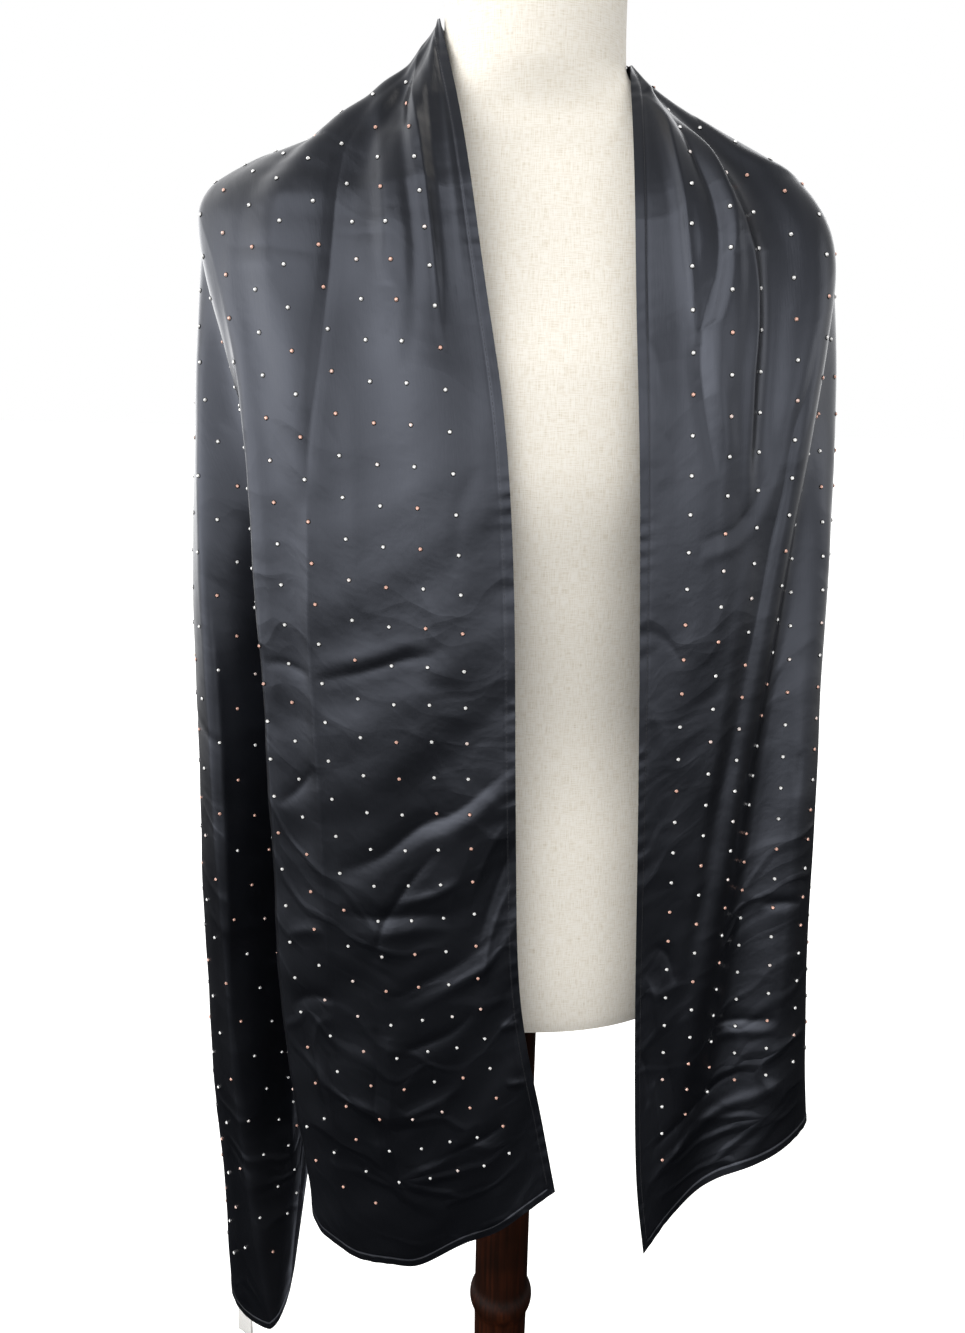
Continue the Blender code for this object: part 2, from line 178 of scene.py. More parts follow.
def build_form(material):
    """The linen cover: rings of points joined into one closed skin, with its seam at the back."""
    heights = np.arange(FORM_SECTIONS[0][0], FORM_SECTIONS[-1][0], FORM_ROW_STEP)
    heights = np.unique(np.concatenate([heights, [row[0] for row in FORM_SECTIONS]]).round(4))
    turn = np.linspace(0, 2 * math.pi, FORM_SIDES + 1) + math.pi
    s, c = np.sin(turn), np.cos(turn)
    half, front, back, power = [v[:, None] for v in form_section(heights)]
    depth = np.where(c > 0, front, back)
    x = half * np.sign(s) * np.abs(s) ** (2 / power)
    y = -depth * np.sign(c) * np.abs(c) ** (2 / power)
    grid = np.stack([x, y, heights[:, None] + TABLE_LIFT + 0 * x], -1)
    around = run_along(grid, 1)
    around -= around[:, FORM_SIDES // 2][:, None]
    cloth = np.stack([around, grid[..., 2]], -1)
    here = grid_faces(len(heights), FORM_SIDES + 1)[:, ::-1]
    corner_place = cloth.reshape(-1, 2)[here]
    ring = np.arange(len(heights) * (FORM_SIDES + 1)).reshape(len(heights), -1)
    ring[:, -1] = ring[:, 0]
    kept = np.unique(ring)
    number = np.zeros(ring.size, dtype=int)
    number[kept] = np.arange(len(kept))
    faces = number[ring.ravel()[here]].tolist()
    points = grid.reshape(-1, 3)[kept]
    places = corner_place.reshape(-1, 2).tolist()
    foot, crown = len(points), len(points) + 1
    points = np.concatenate([points, [(0, 0, grid[0, 0, 2]), (0, 0, grid[-1, 0, 2])]])
    for end, hub in ((0, foot), (len(heights) - 1, crown)):
        rim = number[ring[end]]
        for k in range(FORM_SIDES):
            face = [rim[k], rim[k + 1], hub] if end else [rim[k + 1], rim[k], hub]
            faces.append([int(v) for v in face])
            places += [tuple(points[v][:2]) for v in face]
    piece = mesh_piece("form_linen_cover", points, faces, material)
    layer = piece.data.uv_layers.new(name="cloth")
    layer.data.foreach_set("uv", np.array(places).ravel())
    piece.data.set_sharp_from_angle(angle=math.radians(40))
    return piece


# Plain-woven linen: matt, with thick and thin yarns both ways; the slubs are drawn at
# about 1 mm where the finest yarns are half that, so that they show in a render
linen, tree, shader = finish_of("woven_oatmeal_linen", 0.88, Sheen_Weight=0.12, Sheen_Roughness=0.6,
                                Specular_IOR_Level=0.25)
place = add_node(tree, "ShaderNodeUVMap", uv_map="cloth").outputs["UV"]
slubs = []
for turns in ((1 / SLUB_LENGTH, 1 / SLUB_WIDTH, 1), (1 / SLUB_WIDTH, 0.7 / SLUB_LENGTH, 1)):
    yarn_place = add_node(tree, "ShaderNodeMapping", {"Vector": place, "Scale": turns})
    slubs.append(add_node(tree, "ShaderNodeTexNoise", {"Vector": yarn_place.outputs["Vector"], "Scale": 1.0,
                                                       "Detail": 3.0}).outputs["Fac"])
yarns = add_node(tree, "ShaderNodeMath", {0: slubs[0], 1: slubs[1]}, operation="ADD")
half_yarns = add_node(tree, "ShaderNodeMath", {0: yarns.outputs["Value"], 1: 0.5}, operation="MULTIPLY")
weave_colour = add_node(tree, "ShaderNodeValToRGB", {"Fac": half_yarns.outputs["Value"]}, stops=[
    (0.28, LINEN_SLUB), (0.42, LINEN_DEEP), (0.55, LINEN_PALE), (1.0, LINEN_PALE)])
weave_bump = add_node(tree, "ShaderNodeBump", {"Height": half_yarns.outputs["Value"], "Strength": 0.35,
                                               "Distance": YARN_DEPTH})
tree.links.new(weave_colour.outputs["Color"], shader.inputs["Base Color"])
tree.links.new(weave_bump.outputs["Normal"], shader.inputs["Normal"])

form = build_form(linen)
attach(form, "root")
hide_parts("dress_form")


# Stand: a post and a round base turned from hardwood, stained dark and lacquered.
# The post runs up into the form and has one turned ring; the base is screwed on from below.
BASE_RADIUS = 0.170
BASE_HEIGHT = 0.028
POST_RADIUS = 0.0245
RING_RADIUS = 0.0285
RING_HEIGHT = 0.351
SEAT_GAP = 0.0003
TURNED_SIDES = 96
WOOD_DARK = "#110602"
WOOD_MID = "#220d05"
WOOD_RED = "#341608"
GRAIN_WIDTH = 0.0025
GRAIN_LENGTH = 0.090
GRAIN_DEPTH = 0.0006
STAIN_TURNS = 18.0


def softened(profile, rounds=2):
    """Cuts a profile's corners, keeping its ends."""
    rows = np.asarray(profile, float)
    for _ in range(rounds):
        near, far = rows[:-1] * 0.75 + rows[1:] * 0.25, rows[:-1] * 0.25 + rows[1:] * 0.75
        rows = np.concatenate([rows[:1], np.stack([near, far], 1).reshape(-1, 2)[1:-1], rows[-1:]])
    return rows


def capped(rings, first_hub, last_hub):
    """Points and faces of a round body: rings of points, closed by a fan at each end."""
    rings = np.asarray(rings)
    count, sides = rings.shape[:2]
    points = np.concatenate([rings.reshape(-1, 3), [first_hub, last_hub]])
    faces = grid_faces(count, sides, closed=True)[:, ::-1].tolist()
    last = (count - 1) * sides
    for k in range(sides):
        n = (k + 1) % sides
        faces.append([n, k, len(points) - 2])
        faces.append([last + k, last + n, len(points) - 1])
    return points, faces


def turned(name, profile, material):
    """Round body from (radius, height) rows, closed at both ends."""
    turn = np.linspace(0, 2 * math.pi, TURNED_SIDES, endpoint=False)
    rings = np.stack([profile[:, :1] * np.cos(turn), profile[:, :1] * np.sin(turn),
                      profile[:, 1:] + 0 * turn], -1)
    piece = mesh_piece(name, *capped(rings, (0, 0, profile[0, 1]), (0, 0, profile[-1, 1])), material)
    piece.data.set_sharp_from_angle(angle=math.radians(50))
    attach(piece, "root")
    return piece


# Stained beech: dark red-brown with grain along the post, under a matt lacquer
wood, tree, shader = finish_of("stained_beech", 0.5, Specular_IOR_Level=0.1)
place = add_node(tree, "ShaderNodeTexCoord").outputs["Object"]
grain_place = add_node(tree, "ShaderNodeMapping", {"Vector": place,
                                                   "Scale": (1 / GRAIN_WIDTH, 1 / GRAIN_WIDTH, 1 / GRAIN_LENGTH)})
grain = add_node(tree, "ShaderNodeTexNoise", {"Vector": grain_place.outputs["Vector"], "Scale": 1.0,
                                              "Detail": 6.0, "Distortion": 0.4})
stain = add_node(tree, "ShaderNodeTexNoise", {"Vector": place, "Scale": STAIN_TURNS, "Detail": 2.0})
tone = add_node(tree, "ShaderNodeMath", {0: grain.outputs["Fac"], 1: stain.outputs["Fac"]}, operation="MULTIPLY")
wood_colour = add_node(tree, "ShaderNodeValToRGB", {"Fac": tone.outputs["Value"]}, stops=[
    (0.14, WOOD_DARK), (0.27, WOOD_MID), (0.42, WOOD_RED)])
grain_bump = add_node(tree, "ShaderNodeBump", {"Height": grain.outputs["Fac"], "Strength": 0.15,
                                               "Distance": GRAIN_DEPTH})
tree.links.new(wood_colour.outputs["Color"], shader.inputs["Base Color"])
tree.links.new(grain_bump.outputs["Normal"], shader.inputs["Normal"])

base = turned("stand_foot", softened([
    (BASE_RADIUS - 0.004, 0.0), (BASE_RADIUS, 0.004), (BASE_RADIUS, 0.014), (BASE_RADIUS - 0.006, 0.021),
    (BASE_RADIUS - 0.030, 0.025), (0.045, BASE_HEIGHT)]), wood)
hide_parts("stand_base")
post_foot = BASE_HEIGHT + SEAT_GAP
post_head = FORM_SECTIONS[0][0] + TABLE_LIFT - SEAT_GAP
post = turned("stand_pole", softened([
    (0.034, post_foot), (0.036, post_foot + 0.006), (0.036, post_foot + 0.016), (0.030, post_foot + 0.024),
    (0.0225, post_foot + 0.045), (POST_RADIUS - 0.001, 0.160), (POST_RADIUS, RING_HEIGHT - 0.030),
    (POST_RADIUS + 0.0005, RING_HEIGHT - 0.015), (RING_RADIUS, RING_HEIGHT - 0.007),
    (RING_RADIUS + 0.001, RING_HEIGHT), (RING_RADIUS, RING_HEIGHT + 0.007),
    (POST_RADIUS + 0.0005, RING_HEIGHT + 0.014), (POST_RADIUS, RING_HEIGHT + 0.024), (POST_RADIUS, post_head)]), wood)
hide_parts("stand_post")


# Shawl: one rectangle of black satin, about 0.7 by 1.9 m, laid over the shoulders with its
# long edge round the neck. It hangs open in front, with a narrow turned hem all round.
# The tables are the solids' own; the creases after them are the finer ones pressed into the cloth.
CLOTH_WALL = 0.0015
CLOTH_CLEARANCE = 0.0008
SATIN_WALL = 0.0007
# Columns: right edge x, y, z; right side x, y, z; back y, z; left side x, y, z; left edge x, y, z
YOKE_RINGS = [
    (0.0612, -0.012, 1.2870, 0.0625, 0.012, 1.2920, 0.0665, 1.3020, -0.0625, 0.012, 1.3160, -0.0606, -0.012, 1.3130),
    (0.0608, -0.046, 1.2590, 0.0860, 0.002, 1.2620, 0.0790, 1.2700, -0.0790, 0.002, 1.2790, -0.0530, -0.036, 1.2850),
    (0.0614, -0.074, 1.2295, 0.1250, 0.000, 1.2415, 0.0930, 1.2320, -0.1220, 0.000, 1.2475, -0.0450, -0.058, 1.2600),
    (0.0622, -0.098, 1.1900, 0.1670, 0.000, 1.2230, 0.1040, 1.1850, -0.1820, 0.000, 1.2270, -0.0335, -0.092, 1.2010),
    (0.0640, -0.114, 1.1400, 0.1985, -0.004, 1.193, 0.1100, 1.1300, -0.2165, -0.008, 1.2010, -0.0255, -0.111, 1.150),
]
# Columns: fall, right edge x, right side x, left side x, left edge x, front y, side y, back y
FALL_RINGS = [
    (0.12, 0.0705, 0.2020, -0.2240, -0.0110, -0.124, -0.018, 0.1150),
    (0.30, 0.0777, 0.2062, -0.2340, -0.0030, -0.126, -0.024, 0.1170),
    (0.50, 0.0845, 0.2112, -0.2395, 0.0010, -0.128, -0.028, 0.1190),
    (0.72, 0.0915, 0.2218, -0.2430, 0.0065, -0.131, -0.030, 0.1220),
    (0.90, 0.0995, 0.2345, -0.2410, 0.0265, -0.134, -0.032, 0.1270),
    (1.00, 0.1090, 0.2440, -0.2410, 0.0391, -0.136, -0.034, 0.1300),
]
# Stations run round the shawl: 0 right edge, 1 right side, 2 mid back, 3 left side, 4 left edge
# Columns: station, hem height
HEM_LINE = [
    (0.00, 0.4490), (0.09, 0.4820), (0.21, 0.5060), (0.42, 0.5360), (0.60, 0.5480),
    (0.80, 0.5440), (1.00, 0.5240), (1.22, 0.5100), (1.55, 0.5900), (2.00, 0.6200),
    (2.40, 0.6000), (2.68, 0.4650), (2.88, 0.3330), (3.02, 0.3180), (3.15, 0.3180),
    (3.24, 0.3190), (3.28, 0.3200), (3.305, 0.3240), (3.32, 0.3450), (3.332, 0.4000),
    (3.345, 0.4580), (3.36, 0.4860), (3.39, 0.4920), (3.42, 0.4740), (3.46, 0.4470),
    (3.54, 0.4290), (3.66, 0.4230), (3.83, 0.4520), (4.00, 0.5060),
]
# Columns: name; station at the neck, shoulder, chest and hem; half width at the shoulder and
# at the hem in stations; millimetres out (+) or in (-) at the neck, shoulder, chest, waist and hem
FOLDS = [
    ("right band ridge", 0.34, 0.26, 0.24, 0.20, 0.15, 0.12, 1, 8, 3, 0, 0),
    ("right gather", 0.52, 0.42, 0.36, 0.30, 0.14, 0.12, 0, -7, -4, 0, 0),
    ("right second ridge", 0.72, 0.62, 0.52, 0.50, 0.15, 0.12, 1, 7, 4, 0, 0),
    ("right long valley", 0.96, 0.86, 0.64, 0.20, 0.16, 0.20, 0, -4, -12, -16, -9),
    ("right outer ridge", 0.98, 0.96, 0.84, 0.50, 0.20, 0.24, 0, 1, 4, 7, 5),
    ("right hem ripple", 0.82, 0.80, 0.80, 0.78, 0.10, 0.13, 0, 0, 0, -3, -8),
    ("right back fold", 1.25, 1.26, 1.28, 1.30, 0.20, 0.24, 0, 0, 5, 12, 14),
    ("right back hollow", 1.45, 1.46, 1.48, 1.50, 0.20, 0.24, 0, 0, -3, -9, -12),
    ("mid back fold", 1.85, 1.82, 1.79, 1.76, 0.24, 0.30, 1, 2, 4, 9, 13),
    ("mid back hollow", 2.12, 2.11, 2.09, 2.06, 0.22, 0.26, 0, 0, -2, -7, -11),
    ("left back fold", 2.38, 2.37, 2.36, 2.36, 0.22, 0.28, 0, 1, 5, 11, 14),
    ("left back hollow", 2.62, 2.61, 2.60, 2.60, 0.18, 0.22, 0, 0, -3, -10, -14),
    ("left outer ridge", 3.06, 3.16, 3.42, 3.45, 0.10, 0.07, 0, 2, 5, 5, 3),
    ("left crease", 3.38, 3.46, 3.54, 3.55, 0.10, 0.09, 0, 5, 3, 3, 3),
    ("left gather", 3.60, 3.64, 3.72, 3.80, 0.12, 0.12, 0, -6, -2, 0, 0),
    ("left neck ridge", 3.78, 3.82, 3.86, 3.90, 0.12, 0.12, 0.5, 6, 2, 0, 0),
    ("left hem ripple", 3.74, 3.74, 3.76, 3.78, 0.10, 0.12, 0, 0, 0, -3, -7),
]
DEEP_VALLEY = ("left deep valley", 3.00, 3.11, 3.30, 3.365, 0.115, 0.074, 0, 0, -30, -64, -54)
VALLEY_TURN = (20, 40, 68, 72)
# Columns: last station, steps up to it; the steps are closest in the turned edges and the deep valley
STATION_STEPS = [(0.036, 14), (0.62, 100), (1.0, 42), (1.47, 26), (2.0, 26), (2.61, 30), (3.0, 26),
                 (3.36, 84), (3.50, 36), (3.964, 106), (4.0, 14)]
# Columns: last level, steps up to it; the last rows are the turned hem
LEVEL_STEPS = [(0.30, 14), (4.0, 110), (9.90, 360), (10.0, 16)]
# The cloth is drawn taut over the form: rounds, and the reach in rows of each smoothing step
TAUT_ROUNDS = 8
SMOOTH_REACHES = [7, 5, 4, 3, 2, 2, 1, 1, 1, 1]
# Zones of the cloth: name, first station, last station, station that distances across are taken from
ZONES = [("right", 0.0, 1.47, 0.0), ("back", 1.47, 2.61, 2.0), ("left", 2.61, 4.0, 4.0)]
# How long the cloth is from the neck to its end, all along the short ends; columns: station, length
CLOTH_LENGTH = [(0.0, 0.880), (1.0, 0.860), (1.30, 0.860), (1.6, 0.740), (2.3, 0.740), (2.61, 0.900), (2.90, 1.060),
                (3.20, 1.060), (3.45, 0.930), (4.0, 0.890)]
# How far the rows of stones are drawn up across the chest, in each zone. Columns: across and rise,
# in millimetres
ROW_RISE = [
    [(0, 0), (40, 0), (120, 55), (260, 75), (500, 75)],
    [(0, 0), (200, 75), (400, 75)],
    [(0, 56), (60, 40), (170, 0), (900, 0)],
]


def form_gauge(points):
    """1 on the form's surface, less inside and more outside."""
    half, front, back, power = form_section(points[..., 2])
    depth = np.where(points[..., 1] < 0, front, back)
    return ((np.abs(points[..., 0]) / half) ** power + (np.abs(points[..., 1]) / depth) ** power) ** (1 / power)


def clear_of_form(points, clearance, rounds=8):
    """Moves points out until they stand the clearance away from the form."""
    points = points.copy()
    step = 1e-4
    for _ in range(rounds):
        gauge = form_gauge(points)
        slope = np.stack([(form_gauge(points + np.eye(3)[k] * step) - form_gauge(points - np.eye(3)[k] * step))
                          / (2 * step) for k in range(3)], -1)
        length = np.maximum(np.linalg.norm(slope, axis=-1), 1e-6)
        short = np.maximum(clearance - (gauge - 1) / length, 0)
        short = np.where(points[..., 2] > FORM_SECTIONS[0][0], short, 0)
        points += slope / length[..., None] * np.minimum(short, 0.01)[..., None]
    return points


def quarter(start, end, share, power, along_x):
    """Rounded corner from start to end, leaving start along x or along y; share is of its length."""
    turn = np.linspace(0, math.pi / 2, 121)
    out, back = np.sin(turn) ** (2 / power), 1 - np.cos(turn) ** (2 / power)
    if not along_x:
        out, back = 1 - np.cos(turn) ** (2 / power), np.sin(turn) ** (2 / power)
    line = np.stack([start[0] + (end[0] - start[0]) * out, start[1] + (end[1] - start[1]) * back], -1)
    run = np.concatenate([[0], np.cumsum(np.linalg.norm(np.diff(line, axis=0), axis=1))])
    return np.stack([np.interp(share * run[-1], run, line[:, k]) for k in range(2)], -1)


def ring(edge_r, side_r, back_y, side_l, edge_l, station):
    """Plan of one ring of the shawl at the stations."""
    plan = np.zeros((len(station), 2))
    middle = (0.0, back_y)
    parts = [
        (0, edge_r, side_r, 2.9, True), (1, side_r, middle, 2.5, False),
        (2, middle, side_l, 2.5, True), (3, side_l, edge_l, 2.9, False),
    ]
    for first, start, end, power, along_x in parts:
        pick = (station >= first) & (station <= first + 1)
        plan[pick] = quarter(start, end, station[pick] - first, power, along_x)
    return plan


def ring_rows():
    """All rings as rows of plan points and heights, with their place down the cloth."""
    rows = []
    for k, (rx, ry, rz, sx, sy, sz, by, bz, tx, ty, tz, lx, ly, lz) in enumerate(YOKE_RINGS):
        rows.append((k, (rx, ry), (sx, sy), by, (tx, ty), (lx, ly), (rz, sz, bz, tz, lz)))
    last = YOKE_RINGS[-1]
    for k, (fall, rx, sx, tx, lx, fy, sy, by) in enumerate(FALL_RINGS):
        heights = (last[2], last[5], last[7], last[10], last[13])
        rows.append((len(YOKE_RINGS) + k, (rx, fy), (sx, sy), by, (tx, sy), (lx, fy), (fall, heights)))
    return rows


def hem_height(station):
    """Height of the cloth's lower end, before it is lifted with the form."""
    return smooth_through([row[0] for row in HEM_LINE], [row[1] for row in HEM_LINE], station)


def fold_depth(fold, station, down):
    """How far one fold moves the cloth; down runs from 0 at the neck to 1 at the hem."""
    name, *centres = fold[:5]
    centre = smooth_through([0.0, 0.40, 0.55, 1.0], centres, down)
    width = smooth_through([0.0, 0.40, 1.0], [fold[5], fold[5], fold[6]], down)
    depth = smooth_through([0.0, 0.36, 0.52, 0.75, 1.0], fold[7:], down) / 1000
    share = np.clip(np.abs(station - centre) / width, 0, 1)
    return depth * (0.5 + 0.5 * np.cos(math.pi * share))


def surface(station, levels):
    """Grid of points on the shawl's outer face, levels by stations, before the folds."""
    rows = ring_rows()
    keys = np.zeros((len(rows), len(station), 3))
    for i, (_, edge_r, side_r, by, side_l, edge_l, z) in enumerate(rows):
        keys[i, :, :2] = ring(edge_r, side_r, by, side_l, edge_l, station)
        if len(z) == 5:
            keys[i, :, 2] = smooth_through(range(5), z, station)
        else:
            top = smooth_through(range(5), z[1], station)
            keys[i, :, 2] = top + (hem_height(station) - top) * z[0]
    grid = np.zeros((len(levels), len(station), 3))
    for j in range(len(station)):
        for axis in range(3):
            grid[:, j, axis] = smooth_through(range(len(rows)), keys[:, j, axis], levels)
    return grid


def normals(grid):
    """Outward normals of the grid."""
    out = np.cross(np.gradient(grid, axis=0), np.gradient(grid, axis=1))
    return out / np.maximum(np.linalg.norm(out, axis=-1), 1e-9)[..., None]


def draped(station, levels):
    """The shawl's outer face with its large folds, clear of the form."""
    grid = surface(station, levels)
    down = (levels / (len(YOKE_RINGS) + len(FALL_RINGS) - 1))[:, None] * np.ones(len(station))
    around = station[None, :] * np.ones((len(levels), 1))
    depth = sum(fold_depth(fold, around, down) for fold in FOLDS)
    grid = grid + normals(grid) * depth[..., None]
    turn = np.radians(smooth_through([0.36, 0.52, 0.75, 1.0], VALLEY_TURN, down))
    inwards = np.stack([np.cos(turn), np.sin(turn), 0 * turn], -1)
    grid -= inwards * fold_depth(DEEP_VALLEY, around, down)[..., None]
    return clear_of_form(grid, CLOTH_CLEARANCE + CLOTH_WALL)


def steps_through(rows):
    """Values from 0 through a table of (last value, steps)."""
    stops, at = [0.0], 0.0
    for end, steps in rows:
        stops += [at + (end - at) * (k + 1) / steps for k in range(steps)]
        at = end
    return np.array(stops)


def columns_within(first, last):
    """Which columns lie between two stations, both included."""
    return (stations >= first - 1e-9) & (stations <= last + 1e-9)


stations, levels = steps_through(STATION_STEPS), steps_through(LEVEL_STEPS)
smooth_here = (smooth_through([0.0, 0.7, 5.0, 6.0, 9.6, 10.0], [0.0, 1.0, 1.0, 0.2, 0.2, 0.0], levels)[:, None, None]
               * smooth_through([0.0, 0.65, 0.95, 1.3, 2.6, 2.85, 3.2, 3.45, 4.0],
                                [1.0, 1.0, 0.15, 1.0, 1.0, 0.15, 0.15, 1.0, 1.0], stations)[:, None])
drape = draped(stations, levels)
for _ in range(TAUT_ROUNDS):
    for reach in SMOOTH_REACHES:
        between = 0.5 * (drape[:-2 * reach] + drape[2 * reach:])
        drape[reach:-reach] += 0.5 * smooth_here[reach:-reach] * (between - drape[reach:-reach])
    drape[levels < 6] = clear_of_form(drape[levels < 6], CLOTH_CLEARANCE + CLOTH_WALL, 2)
across_all, down = run_along(drape, 1), run_along(drape, 0)
cloth_end = down[-1]
edge_gap = np.minimum(across_all, across_all[:, -1:] - across_all)
hem_gap = cloth_end - down
length_here = smooth_through([row[0] for row in CLOTH_LENGTH], [row[1] for row in CLOTH_LENGTH], stations)
share_down = down / cloth_end
down = down + (length_here - cloth_end) * smooth_through([0.0, 0.30, 1.0], [0.0, 0.0, 1.0], share_down)
row_down = down.copy()
across = np.zeros_like(across_all)
zone_of = np.zeros(len(stations), dtype=int)
for number, (_, first, last, start) in enumerate(ZONES):
    pick = columns_within(first, last)
    origin = across_all[:, np.argmin(np.abs(stations - start))][:, None]
    across[:, pick] = np.abs(across_all[:, pick] - origin) if start != 2.0 else across_all[:, pick] - origin
    zone_of[pick] = number
    rise = smooth_through([row[0] for row in ROW_RISE[number]], [row[1] for row in ROW_RISE[number]],
                          np.abs(across[:, pick])) / 1000
    row_down[:, pick] += rise * smooth_through([0.0, 0.25, 0.50, 1.0], [0.6, 1.0, 0.8, 0.0], share_down[:, pick])

